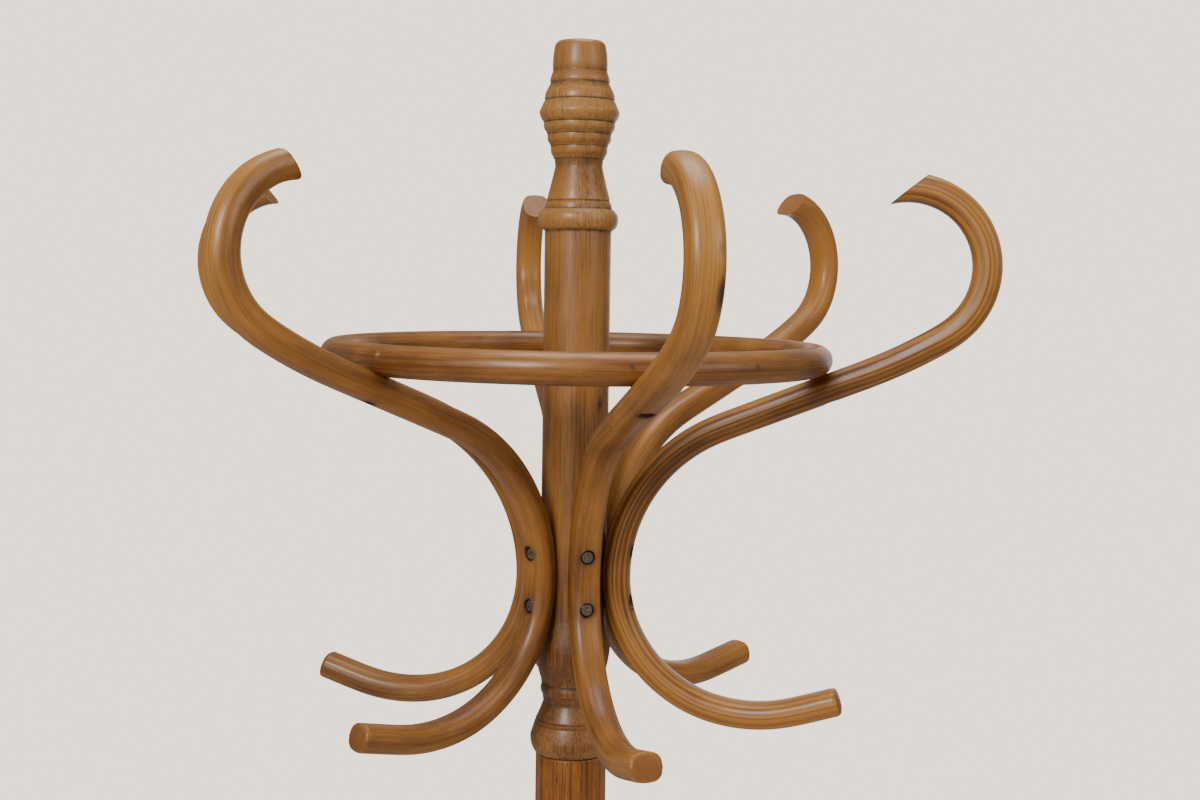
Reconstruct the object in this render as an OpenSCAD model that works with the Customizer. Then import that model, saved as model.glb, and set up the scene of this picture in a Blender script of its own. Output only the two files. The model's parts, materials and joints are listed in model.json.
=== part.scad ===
// Standing coat rack with a revolving bentwood head.
// Millimetres. +Z is up, z = 0 is the floor, and the post stands on the Z axis.
// Arms and legs lie in planes through the axis. Angles about the axis are counted from -Y towards +X.

/* [Overall] */
// Height of the whole stand, floor to the top of the finial
stand_h = 1850; // [1700:5:2050]
// Distance from the axis to the middle of each foot
foot_r = 300; // [270:5:360]
// Turn of the head on its spindle at rest, in degrees
head_turn = 13.7; // [-30:0.1:30]

/* [Turned post] */
// Length of the head post, parting line to the top of the finial
head_l = 505.5; // [490:0.5:580]
// Diameter of the plain part of the head post
post_d = 47.2; // [44:0.2:52]
// Diameter of the column below the parting line
column_d = 51; // [48:0.5:58]
// Length of the base post, from its lower face to the joint with the column
base_post_l = 300; // [270:5:360]
// How far the base post reaches below the straight part of the legs
base_post_drop = 75; // [70:1:100]

/* [Arms] */
// Number-one arm, set off its even place, in degrees
arm_1_set = 0; // [-2:0.1:2]
// Number-two arm, set off its even place, in degrees
arm_2_set = 2.4; // [0:0.1:3]
// Number-three arm, set off its even place, in degrees
arm_3_set = -1.3; // [-2:0.1:2]
// Number-four arm, set off its even place, in degrees
arm_4_set = -4.8; // [-5:0.1:0]
// Number-five arm, set off its even place, in degrees
arm_5_set = 2.9; // [-2:0.1:3]
// Number-six arm, set off its even place, in degrees
arm_6_set = -0.4; // [-2:0.1:2]
// Width of an arm, across its bend
arm_w = 22.5; // [20:0.5:26.5]
// Thickness of an arm, in the plane of its bend
arm_t = 20; // [18:0.5:24]
// Rounding along the edges of an arm
arm_round = 7.5; // [5:0.5:8.8]
// Depth of the saddle where an arm is cut to sit on the post
arm_saddle = 2; // [1:0.1:3]
// Height of the middle of the arms above the parting line
arm_mid = 130; // [128:1:145]
// Radius of the first bend up from the post
up_bend_r = 122; // [110:1:135]
// Rise of the straight part that carries the ring, in degrees
up_rise = 21.6; // [18:0.2:26]
// Length of the straight part that carries the ring
up_straight = 100; // [85:1:130]
// Radius of the slight bend outside the ring
ease_bend_r = 350; // [250:10:450]
// Angle of the slight bend outside the ring
ease_bend_a = 10; // [5:0.5:14]
// Radius of the upper hook, to the middle of the wood
hook_r = 52; // [48:0.5:62]
// How far the upper hook turns past its highest point
hook_past = 10; // [6:1:20]
// Where the bevel of the upper tip starts, before the highest point
bevel_before = 10; // [4:1:14]
// Radius of the lower bend
low_bend_r = 93; // [85:1:105]
// Angle of the lower bend
low_bend_a = 80; // [74:1:84]
// Radius of the lower hook
low_hook_r = 110; // [90:1:130]
// Angle of the lower hook
low_hook_a = 28.4; // [22:0.2:34]
// Length of the straight lower end
low_end = 26; // [15:1:40]

/* [Hat ring] */
// Radius of the hat ring, to the middle of the wood
ring_r = 168.5; // [150:0.5:180]
// Thickness of the round hat ring
ring_d = 21; // [18:0.5:24]
// Depth of the seat that each arm is cut for the ring
ring_seat = 1.5; // [0.5:0.1:2.5]

/* [Legs] */
// Width of a leg, across its bend
leg_w = 28; // [24:0.5:32]
// Thickness of a leg, in the plane of its bend
leg_t = 24; // [21:0.5:27]
// Rounding along the edges of a leg
leg_round = 9; // [5:0.5:9.5]
// Depth of the saddle where a leg sits on the base post
leg_saddle = 2; // [1:0.1:3]
// Length of the straight part of a leg on the post
leg_straight = 88; // [75:1:110]
// Radius of the bend out from the post
leg_out_r = 150; // [130:5:170]
// Radius of the bend down to the foot
leg_down_r = 280; // [250:5:300]
// Angle of both leg bends
leg_bend_a = 60; // [56:1:64]
// Length of the upright foot below the bend
leg_foot = 60; // [40:1:90]

/* [Umbrella ring] */
// Radius of the umbrella ring, to the middle of the wood
keeper_r = 185; // [165:1:205]
// Thickness of the umbrella ring
keeper_d = 18; // [15:0.5:20]
// Depth of the seat that each leg is cut for the umbrella ring
keeper_seat = 1; // [0.5:0.1:2]

/* [Swivel] */
// Thickness of the thrust washer in the parting line
washer_t = 1; // [0.8:0.1:2]
// Outer diameter of the thrust washer
washer_d = 40; // [34:0.5:44]
// Diameter of the steel spindle
spindle_d = 12; // [10:0.5:14]
// Length of the spindle above the column
spindle_up = 70; // [55:1:78]
// Length of the spindle let into the column
spindle_down = 60; // [45:1:90]
// Wall of the bush in the head post
bush_wall = 2; // [1.5:0.1:2.5]
// Running clearance round the spindle, on the radius
run_gap = 0.05; // [0.02:0.01:0.09]
// Play between the head post and the thrust washer
thrust_gap = 0.1; // [0.05:0.01:0.3]

/* [Fasteners] */
// Distance between the two screws of an arm
arm_screw_gap = 37; // [32:0.5:44]
// Distance between the two screws of a leg
leg_screw_gap = 50; // [40:1:60]
// Diameter of a wood screw's shank
shank_d = 4; // [3.5:0.1:4.5]
// Diameter of a wood screw's head
head_d = 8.4; // [7.5:0.1:9]
// Height of a wood screw's head
head_h = 2.6; // [2:0.1:3]
// Clearance round a head in its counterbore, on the radius
head_gap = 0.7; // [0.4:0.1:1]
// Clearance round a shank in an arm or a leg, on the radius
shank_gap = 0.3; // [0.2:0.05:0.5]
// Depth of a counterbore below the flat of an arm
arm_sink = 2.9; // [2:0.1:3.5]
// Depth of a counterbore below the wood under a ring
ring_sink = 4; // [3:0.1:5]
// Radius at the middle of a post that screw points stay out of
screw_core_r = 6.5; // [6:0.1:8]
// Wood left between a screw's point and the far side of a ring
ring_skin = 4; // [3:0.1:6]
// Diameter of the steel dowel between base post and column
stud_d = 10; // [8:0.5:12]
// Length of that dowel in each of the two posts
stud_l = 50; // [40:1:70]

/* [Feet] */
// Diameter of a foot glide
glide_d = 20; // [16:0.5:22]
// Height of a foot glide
glide_h = 5; // [4:0.5:8]
// Diameter of a glide's nail
nail_d = 2.2; // [1.8:0.1:3]
// Length of a glide's nail in the leg
nail_l = 18; // [12:1:25]

/* [Hidden] */
$fn = 72;

// colours
wood = "#A9773F";
wood_dark = "#8F5F2D";
dark_steel = "#3A332C";
bright_steel = "#B9BBBD";
brass = "#B08D4A";
glide_brown = "#3B2A1E";

// post
part_z = stand_h - head_l;
head_z = part_z + washer_t + thrust_gap;
post_r = post_d / 2;
column_r = column_d / 2;
through = 1;
spindle_room = 4;

// turned finial, from the collar up
collar_h = 15.6;
collar_r = post_r + 4.5;
band_h = 3;
band_r = post_r - 0.5;
groove_h = 1.8;
flare_h = 24;
flare_r = post_r - 1.2;
neck_h = 5.9;
neck_r = 16.7;
neck_curve = 57;
// lips below the big bead: height and radius
lips = [[8.8, 19.9], [8.4, 22.4], [8, 25]];
lip_round = 4;
big_bead_h = 15.1;
big_bead_r = 28.1;
big_bead_curve = 10;
// shelves above the big bead: height and radius
shelves = [[12.1, 24.4], [7.9, 20.7]];
shelf_round = 4.5;
stub_low_r = 19;
stub_top_r = 17.6;
stub_round = 3;
function total(list, n) = n == 0 ? 0 : list[n - 1][0] + total(list, n - 1);
lips_h = total(lips, len(lips));
shelves_h = total(shelves, len(shelves));
stub_h = 20.7;
finial_l = collar_h + band_h + groove_h + flare_h + neck_h + lips_h + big_bead_h + shelves_h + stub_h;

// turned foot of the head post, from the parting line up
foot_bead_h = 21;
foot_bead_mid = 11.5;
foot_bead_r = 30.2;
foot_bead_low_r = 24;
foot_bead_top_r = 13;
foot_step_h = 2.5;
foot_step_r = 25.9;
waist_h = 18.5;
waist_r = 20.5;
waist_at = 36;
waist_curve = 16;
ridge_h = 8.5;
ridge_r = 22.3;
ridge_round = 3;
swell_r = 27.3;
swell_curve = 64;
swell_at = 76;
ridge_z = foot_bead_h + foot_step_h + waist_h;
swell_z = ridge_z + ridge_h;

// webs between stretches of bent wood: thickness, rim, and how short each stretch stops
web_t = 1;
web_rim = 0.05;
web_short = 0.25;

// arms
arm_size = [arm_t, arm_w, arm_round];
arm_z = part_z + arm_mid;
arm_rho = post_r + arm_t / 2 - arm_saddle;
up_a = 90 - up_rise;
ease_end_a = up_a - ease_bend_a;
up_p1 = [arm_rho + up_bend_r * (1 - cos(up_a)), arm_z + up_bend_r * sin(up_a)];
ring_off = arm_t / 2 + ring_d / 2 - ring_seat;
ring_z = up_p1[1] + (ring_r - up_p1[0]) * tan(up_rise) + ring_off / cos(up_rise);
arm_sets = [arm_1_set, arm_2_set, arm_3_set, arm_4_set, arm_5_set, arm_6_set];
function arm_turn(i) = head_turn + 60 * i + arm_sets[i];

// legs
leg_size = [leg_t, leg_w, leg_round];
leg_rho = column_r + leg_t / 2 - leg_saddle;
leg_mid = (foot_r - leg_rho - (leg_out_r + leg_down_r) * (1 - cos(leg_bend_a))) / sin(leg_bend_a);
leg_bend_z = glide_h + leg_foot + (leg_out_r + leg_down_r) * sin(leg_bend_a) + leg_mid * cos(leg_bend_a);
leg_c2 = [foot_r - leg_down_r, glide_h + leg_foot];
keeper_off = leg_down_r - leg_t / 2 - keeper_d / 2 + keeper_seat;
keeper_a = acos((keeper_r - leg_c2[0]) / keeper_off);
keeper_z = leg_c2[1] + keeper_off * sin(keeper_a);
leg_screw_z = leg_bend_z + leg_straight / 2 + 5;

// base post and its turned ends
base_z = leg_bend_z - base_post_drop;
joint_z = base_z + base_post_l;
base_bead_h = 22;
base_bead_r = column_r + 4.5;
knob_r = 24;
knob_neck_r = 13;
knob_neck_h = 8;
knob_tenon_d = 16;
knob_tenon_l = 22;
edge = 1.2;

// fasteners
counter_d = head_d + 2 * head_gap;
hole_d = shank_d + 2 * shank_gap;
arm_seat = arm_rho + arm_t / 2 - arm_sink;
leg_seat = leg_rho + leg_t / 2 - arm_sink;
point_h = 4;
recess_w = 1;
recess_l = 4.4;
recess_t = 1.4;

// ---- turning outlines, drawn in the X-Y plane with X as the radius ----

// plain turned stretch
module land(r, low, high) {
    translate([0, low]) square([r, high - low]);
}

// stretch that bulges out to r at height mid, with its own curve
module bulge(r, curve, mid, low, high) {
    intersection() {
        translate([r - curve, mid]) circle(curve);
        land(r, low, high);
    }
}

// stretch that is hollowed in to r at height mid, out of a blank of radius out
module hollow(r, curve, mid, out, low, high) {
    difference() {
        land(out, low, high);
        translate([r + curve, mid]) circle(curve);
    }
}

// stretch with its lower edge rounded
module lip(r, round_r, low, high) {
    land(r - round_r, low, high);
    land(r, low + round_r, high);
    translate([r - round_r, low + round_r]) circle(round_r);
}

// stretch with its upper edge rounded
module shelf(r, round_r, low, high) {
    land(r - round_r, low, high);
    land(r, low, high - round_r);
    translate([r - round_r, high - round_r]) circle(round_r);
}

module head_outline() {
    // foot of the head post
    bulge(foot_bead_r, foot_bead_low_r, foot_bead_mid, 0, foot_bead_mid);
    bulge(foot_bead_r, foot_bead_top_r, foot_bead_mid, foot_bead_mid, foot_bead_h);
    land(foot_step_r, foot_bead_h, foot_bead_h + foot_step_h);
    hollow(waist_r, waist_curve, waist_at, foot_step_r, foot_bead_h + foot_step_h, waist_at);
    hollow(waist_r, waist_curve, waist_at, ridge_r - 0.6, waist_at, ridge_z);
    shelf(ridge_r, ridge_round, ridge_z, swell_z);
    bulge(swell_r, swell_curve, swell_at, swell_z, swell_at);
    bulge(swell_r, swell_curve, swell_at, swell_at, arm_mid - 30);
    // plain part
    top_l = head_l - washer_t - thrust_gap;
    plain_top = top_l - finial_l;
    land(post_r, swell_at, plain_top);
    // collar, band and groove
    band_z = plain_top + collar_h;
    flare_z = band_z + band_h + groove_h;
    bulge(collar_r, collar_h / 2 + 1.5, plain_top + collar_h / 2, plain_top, band_z);
    land(band_r, band_z, band_z + band_h);
    land(band_r - 0.9, band_z + band_h, flare_z);
    // flare and neck
    neck_z = flare_z + flare_h;
    lips_z = neck_z + neck_h;
    hollow(neck_r, neck_curve, neck_z, flare_r, flare_z, neck_z);
    hollow(neck_r, neck_curve, neck_z, neck_r + 1, neck_z, lips_z);
    // lips, big bead and shelves
    for (i = [0 : len(lips) - 1])
        lip(lips[i][1], lip_round, lips_z + total(lips, i), lips_z + total(lips, i + 1));
    big_z = lips_z + lips_h;
    bulge(big_bead_r, big_bead_curve, big_z + big_bead_h * 0.45, big_z, big_z + big_bead_h);
    shelves_z = big_z + big_bead_h;
    for (i = [0 : len(shelves) - 1])
        shelf(shelves[i][1], shelf_round, shelves_z + total(shelves, i), shelves_z + total(shelves, i + 1));
    // plain stub on top
    stub_z = shelves_z + shelves_h;
    stub_top_z = top_l - stub_round;
    polygon([[0, stub_z], [stub_low_r, stub_z], [stub_top_r, stub_top_z], [0, stub_top_z]]);
    shelf(stub_top_r, stub_round, stub_top_z - stub_round, top_l);
}

// ---- bent wood ----
// A size is [thickness, width, rounding]. Stretches stop a little short of each other, inside a thin
// web of the same section, so that no two of their faces lie on each other.

// rounded section of an arm or a leg: X is its thickness, Y its width
module section(size) {
    t = size[0];
    w = size[1];
    r = size[2];
    square([t, w - 2 * r], center = true);
    square([t - 2 * r, w], center = true);
    for (x = [-1, 1], y = [-1, 1])
        translate([x * (t / 2 - r), y * (w / 2 - r)]) circle(r);
}

// web that joins two stretches at the origin
module web(size) {
    translate([0, 0, -web_t / 2]) linear_extrude(web_t)
        section([size[0] + 2 * web_rim, size[1] + 2 * web_rim, size[2] + web_rim]);
}

// bend that starts at the origin going up and turns towards +X
module bend(size, curve, angle) {
    short_a = web_short / curve * 180 / PI;
    translate([curve, 0, 0]) mirror([1, 0, 0]) rotate([90, 0, 0]) rotate([0, 0, short_a])
        rotate_extrude(angle = angle - 2 * short_a) translate([curve, 0]) section(size);
}

// moves what follows to the end of such a bend, and joins it on
module after_bend(size, curve, angle) {
    translate([curve, 0, 0]) rotate([0, angle, 0]) translate([-curve, 0, 0]) {
        web(size);
        children();
    }
}

// straight stretch up from the origin, whose far end is free
module free_end(size, l) {
    translate([0, 0, web_short]) linear_extrude(l - web_short) section(size);
}

// straight stretch up from the origin, with what follows joined on
module straight(size, l) {
    translate([0, 0, web_short]) linear_extrude(l - 2 * web_short) section(size);
    translate([0, 0, l]) {
        web(size);
        children();
    }
}

// what follows bends the other way
module other_way() {
    mirror([1, 0, 0]) children();
}

// upper half of an arm, from its middle to the tip of the hook
module arm_upper() {
    hook_a = ease_end_a + 90 + hook_past;
    bend(arm_size, up_bend_r, up_a);
    after_bend(arm_size, up_bend_r, up_a) straight(arm_size, up_straight) other_way() {
        bend(arm_size, ease_bend_r, ease_bend_a);
        after_bend(arm_size, ease_bend_r, ease_bend_a) difference() {
            bend(arm_size, hook_r, hook_a);
            hook_bevel(hook_a);
        }
    }
}

// block whose lower face is the bevel of the hook's tip
module hook_bevel(hook_a) {
    start_a = hook_a - hook_past - bevel_before;
    outer_r = hook_r + arm_t / 2;
    inner_r = hook_r - arm_t / 2;
    // from a point on the outside of the hook to one on its inside, about the middle of the hook
    s = [-outer_r * cos(start_a), outer_r * sin(start_a)];
    e = [-inner_r * cos(hook_a), inner_r * sin(hook_a)];
    tilt = atan2(e[1] - s[1], e[0] - s[0]);
    translate([hook_r + s[0], 0, s[1]]) rotate([0, -tilt, 0])
        translate([-arm_w, -arm_w, 0]) cube([4 * arm_w, 2 * arm_w, 2 * arm_w]);
}

// lower half of an arm
module arm_lower() {
    bend(arm_size, low_bend_r, low_bend_a);
    after_bend(arm_size, low_bend_r, low_bend_a) {
        bend(arm_size, low_hook_r, low_hook_a);
        after_bend(arm_size, low_hook_r, low_hook_a) free_end(arm_size, low_end);
    }
}

// turns what follows to an angle about the post, with +X outwards
module facing(angle) {
    rotate([0, 0, angle - 90]) children();
}

// places what follows at the crossing of ring and arm, with +Z from the arm into the ring
module at_ring() {
    translate([ring_r, 0, ring_z]) rotate([0, -up_rise, 0]) children();
}

module hat_ring_blank() {
    translate([0, 0, ring_z]) rotate_extrude() translate([ring_r, 0]) circle(ring_d / 2);
}

module arm_blank() {
    translate([arm_rho, 0, arm_z]) {
        web(arm_size);
        arm_upper();
        rotate([180, 0, 0]) arm_lower();
    }
}

module arm(i) {
    facing(arm_turn(i)) difference() {
        arm_blank();
        translate([0, 0, arm_z - arm_w * 2]) cylinder(r = post_r, h = arm_w * 4);
        hat_ring_blank();
        for (s = [-1, 1]) translate([0, 0, arm_z + s * arm_screw_gap / 2]) rotate([0, 90, 0]) {
            cylinder(d = hole_d, h = arm_seat + through);
            translate([0, 0, arm_seat]) cylinder(d = counter_d, h = arm_t);
        }
        at_ring() mirror([0, 0, 1]) {
            cylinder(d = hole_d, h = ring_off + arm_t / 2);
            translate([0, 0, ring_off + arm_t / 2 - ring_sink]) cylinder(d = counter_d, h = arm_t);
        }
    }
}

// ---- legs ----

module leg_blank() {
    translate([leg_rho, 0, leg_bend_z]) {
        web(leg_size);
        free_end(leg_size, leg_straight);
        rotate([180, 0, 0]) {
            bend(leg_size, leg_out_r, leg_bend_a);
            after_bend(leg_size, leg_out_r, leg_bend_a) straight(leg_size, leg_mid) other_way() {
                bend(leg_size, leg_down_r, leg_bend_a);
                after_bend(leg_size, leg_down_r, leg_bend_a) free_end(leg_size, leg_foot);
            }
        }
    }
}

// places what follows at the crossing of umbrella ring and leg, with +Z from the ring out through the leg
module at_keeper() {
    translate([keeper_r, 0, keeper_z]) rotate([0, 90 - keeper_a, 0]) children();
}

module keeper_blank() {
    translate([0, 0, keeper_z]) rotate_extrude() translate([keeper_r, 0]) circle(keeper_d / 2);
}

keeper_reach = keeper_d / 2 + leg_t - keeper_seat;

module leg(i) {
    facing(90 * i) difference() {
        leg_blank();
        translate([0, 0, leg_bend_z - leg_w]) cylinder(r = column_r, h = leg_straight + 2 * leg_w);
        keeper_blank();
        for (s = [-1, 1]) translate([0, 0, leg_screw_z + s * leg_screw_gap / 2]) rotate([0, 90, 0]) {
            cylinder(d = hole_d, h = leg_seat + through);
            translate([0, 0, leg_seat]) cylinder(d = counter_d, h = leg_t);
        }
        at_keeper() {
            cylinder(d = hole_d, h = keeper_reach);
            translate([0, 0, keeper_reach - ring_sink]) cylinder(d = counter_d, h = leg_t);
        }
        translate([foot_r, 0, glide_h - through]) cylinder(d = nail_d, h = nail_l + through);
    }
}

// ---- fasteners ----

// wood screw along +Z: the head sits below z = 0, the shank reaches to z = l
module wood_screw(l) {
    difference() {
        union() {
            translate([0, 0, -head_h]) cylinder(d1 = head_d * 0.72, d2 = head_d, h = head_h * 0.45);
            translate([0, 0, -head_h * 0.55]) cylinder(d = head_d, h = head_h * 0.55);
            cylinder(d = shank_d, h = l - point_h);
            translate([0, 0, l - point_h]) cylinder(d1 = shank_d, d2 = 0.6, h = point_h);
        }
        for (a = [0, 90]) rotate([0, 0, a]) translate([0, 0, -head_h])
            cube([recess_l, recess_w, 2 * recess_t], center = true);
    }
}

module screw_hole(l) {
    cylinder(d = shank_d, h = l - point_h);
    translate([0, 0, l - point_h]) cylinder(d1 = shank_d, d2 = 0.6, h = point_h);
}

// both screws of every arm, or the holes that they leave in the post
module at_arm_screws() {
    for (i = [0 : 5], s = [-1, 1])
        facing(arm_turn(i)) translate([arm_seat, 0, arm_z + s * arm_screw_gap / 2])
            rotate([0, -90, 0]) children();
}

module at_ring_screws() {
    for (i = [0 : 5])
        facing(arm_turn(i)) at_ring() translate([0, 0, ring_sink - ring_off - arm_t / 2]) children();
}

module at_leg_screws() {
    for (i = [0 : 3], s = [-1, 1])
        facing(90 * i) translate([leg_seat, 0, leg_screw_z + s * leg_screw_gap / 2])
            rotate([0, -90, 0]) children();
}

module at_keeper_screws() {
    for (i = [0 : 3])
        facing(90 * i) at_keeper() translate([0, 0, keeper_reach - ring_sink]) mirror([0, 0, 1]) children();
}

arm_screw_l = arm_seat - screw_core_r;
leg_screw_l = leg_seat - screw_core_r;
ring_screw_l = ring_off + arm_t / 2 - ring_sink + ring_d / 2 - ring_skin;
keeper_screw_l = keeper_reach - ring_sink + keeper_d / 2 - ring_skin;

// ---- sub-parts ----

module head_post() {
    bush_d = spindle_d + 2 * run_gap + 2 * bush_wall;
    color(wood) difference() {
        translate([0, 0, head_z]) rotate_extrude() head_outline();
        translate([0, 0, head_z - through]) cylinder(d = bush_d, h = spindle_up + spindle_room + through);
        at_arm_screws() screw_hole(arm_screw_l);
    }
}

module arm_1() { color(wood) arm(0); }
module arm_2() { color(wood) arm(1); }
module arm_3() { color(wood) arm(2); }
module arm_4() { color(wood) arm(3); }
module arm_5() { color(wood) arm(4); }
module arm_6() { color(wood) arm(5); }

module arm_screws() {
    color(dark_steel) at_arm_screws() wood_screw(arm_screw_l);
}

module hat_ring() {
    color(wood) difference() {
        hat_ring_blank();
        at_ring_screws() screw_hole(ring_screw_l);
    }
}

module ring_screws() {
    color(dark_steel) at_ring_screws() wood_screw(ring_screw_l);
}

module swivel_bush() {
    bore_d = spindle_d + 2 * run_gap;
    color(brass) translate([0, 0, head_z]) difference() {
        cylinder(d = bore_d + 2 * bush_wall, h = spindle_up);
        translate([0, 0, -through]) cylinder(d = bore_d, h = spindle_up + 2 * through);
    }
}

module swivel_washer() {
    color(bright_steel) translate([0, 0, part_z]) difference() {
        cylinder(d = washer_d, h = washer_t);
        translate([0, 0, -through]) cylinder(d = spindle_d, h = washer_t + 2 * through);
    }
}

module swivel_spindle() {
    color(bright_steel) translate([0, 0, part_z - spindle_down]) {
        cylinder(d = spindle_d, h = spindle_down + spindle_up - edge);
        translate([0, 0, spindle_down + spindle_up - edge])
            cylinder(d1 = spindle_d, d2 = spindle_d - 2 * edge, h = edge);
    }
}

module column() {
    color(wood_dark) difference() {
        translate([0, 0, joint_z]) rotate_extrude()
            shelf(column_r, edge, 0, part_z - joint_z);
        translate([0, 0, part_z - spindle_down]) cylinder(d = spindle_d, h = spindle_down + through);
        translate([0, 0, joint_z - through]) cylinder(d = stud_d, h = stud_l + through);
    }
}

module column_dowel() {
    color(bright_steel) translate([0, 0, joint_z - stud_l]) cylinder(d = stud_d, h = 2 * stud_l);
}

module base_post() {
    bead_mid = base_bead_h / 2;
    color(wood) difference() {
        translate([0, 0, base_z]) rotate_extrude() {
            bulge(base_bead_r, bead_mid + 3, bead_mid, 0, base_bead_h);
            land(column_r, base_bead_h, base_post_l - base_bead_h);
            bulge(base_bead_r, bead_mid + 3, base_post_l - bead_mid, base_post_l - base_bead_h, base_post_l);
        }
        translate([0, 0, joint_z - stud_l]) cylinder(d = stud_d, h = stud_l + through);
        translate([0, 0, base_z - through]) cylinder(d = knob_tenon_d, h = knob_tenon_l + through);
        at_leg_screws() screw_hole(leg_screw_l);
    }
}

module base_knob() {
    color(wood) translate([0, 0, base_z]) {
        cylinder(d = knob_tenon_d, h = knob_tenon_l);
        translate([0, 0, -knob_neck_h]) cylinder(r = knob_neck_r, h = knob_neck_h);
        translate([0, 0, -knob_neck_h - knob_r * 0.8]) sphere(r = knob_r);
    }
}

module leg_1() { color(wood) leg(0); }
module leg_2() { color(wood) leg(1); }
module leg_3() { color(wood) leg(2); }
module leg_4() { color(wood) leg(3); }

module leg_screws() {
    color(dark_steel) at_leg_screws() wood_screw(leg_screw_l);
}

module umbrella_ring() {
    color(wood) difference() {
        keeper_blank();
        at_keeper_screws() screw_hole(keeper_screw_l);
    }
}

module umbrella_ring_screws() {
    color(dark_steel) at_keeper_screws() wood_screw(keeper_screw_l);
}

module foot_glides() {
    color(glide_brown) for (i = [0 : 3]) facing(90 * i) translate([foot_r, 0, 0]) difference() {
        cylinder(d = glide_d, h = glide_h);
        translate([0, 0, glide_h / 2]) cylinder(d = nail_d, h = glide_h);
    }
}

module glide_nails() {
    color(bright_steel) for (i = [0 : 3]) facing(90 * i)
        translate([foot_r, 0, glide_h / 2]) cylinder(d = nail_d, h = glide_h / 2 + nail_l);
}

head_post();
arm_1();
arm_2();
arm_3();
arm_4();
arm_5();
arm_6();
arm_screws();
hat_ring();
ring_screws();
swivel_bush();
swivel_washer();
swivel_spindle();
column();
column_dowel();
base_post();
base_knob();
leg_1();
leg_2();
leg_3();
leg_4();
leg_screws();
umbrella_ring();
umbrella_ring_screws();
foot_glides();
glide_nails();
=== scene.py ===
"""Looks of a standing bentwood coat rack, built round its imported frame.

Every new piece is a surface worked out from a few sizes: turned posts are profiles carried round
the axis, arms, legs and rings are sections carried along a bent centre line.
"""

import json
from functools import partial
from math import cos, pi, radians, sin
from types import SimpleNamespace

import bpy
import numpy as np
from mathutils import Matrix, Vector

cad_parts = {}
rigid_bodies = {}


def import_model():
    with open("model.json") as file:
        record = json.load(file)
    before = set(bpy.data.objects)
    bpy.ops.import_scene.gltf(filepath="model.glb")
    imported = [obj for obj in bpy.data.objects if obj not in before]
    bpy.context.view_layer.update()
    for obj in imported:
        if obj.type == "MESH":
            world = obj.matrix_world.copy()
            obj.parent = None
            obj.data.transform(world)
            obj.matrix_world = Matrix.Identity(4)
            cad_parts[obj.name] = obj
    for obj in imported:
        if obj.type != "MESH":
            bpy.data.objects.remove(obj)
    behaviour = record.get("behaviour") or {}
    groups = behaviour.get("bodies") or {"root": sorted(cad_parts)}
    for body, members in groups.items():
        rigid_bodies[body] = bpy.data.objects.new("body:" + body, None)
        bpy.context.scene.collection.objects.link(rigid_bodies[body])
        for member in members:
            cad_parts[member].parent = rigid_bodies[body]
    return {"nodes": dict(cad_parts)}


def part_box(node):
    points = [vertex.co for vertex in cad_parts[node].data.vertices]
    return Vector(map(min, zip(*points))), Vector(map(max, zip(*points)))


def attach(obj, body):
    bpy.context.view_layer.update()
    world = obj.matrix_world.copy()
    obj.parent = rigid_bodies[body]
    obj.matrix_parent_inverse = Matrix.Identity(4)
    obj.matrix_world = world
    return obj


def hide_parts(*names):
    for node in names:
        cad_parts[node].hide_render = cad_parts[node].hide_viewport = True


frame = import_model()

bl_info = {
    "name": "Bentwood coat rack",
    "version": (1, 0, 0),
    "blender": (4, 5, 0),
    "location": "View3D > Sidebar > Coat rack",
    "description": "Turned posts, bent arms, rings, legs and finishes of a standing coat rack",
    "category": "Add Mesh",
}

MM = 0.001
ARMS = [f"arm_{i}" for i in range(1, 7)]
LEGS = [f"leg_{i}" for i in range(1, 5)]
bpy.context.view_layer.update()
TOP_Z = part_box("head_post")[1][2]
HEAD_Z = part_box("head_post")[0][2]
PART_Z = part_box("column")[1][2]


# ---------------------------------------------------------------- settings


def length(name, millimetres, words):
    """A size in metres, given in millimetres."""
    return bpy.props.FloatProperty(
        name=name,
        description=words,
        default=millimetres * MM,
        min=0.0,
        unit="LENGTH",
        subtype="DISTANCE",
        precision=4,
    )


def angle(name, degrees, words):
    """An angle in radians, given in degrees."""
    return bpy.props.FloatProperty(
        name=name, description=words, default=radians(degrees), unit="ROTATION", subtype="ANGLE"
    )


def colour(name, hexa, words):
    """A colour, given as an sRGB hex value."""
    return bpy.props.FloatVectorProperty(
        name=name, description=words, default=linear(hexa), size=4, min=0.0, max=1.0, subtype="COLOR"
    )


def linear(hexa):
    """Linear RGBA of an sRGB hex value: each channel through the sRGB curve."""
    channels = [int(hexa[i : i + 2], 16) / 255 for i in (1, 3, 5)]
    curve = [c / 12.92 if c <= 0.04045 else ((c + 0.055) / 1.055) ** 2.4 for c in channels]
    return (*curve, 1.0)


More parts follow.
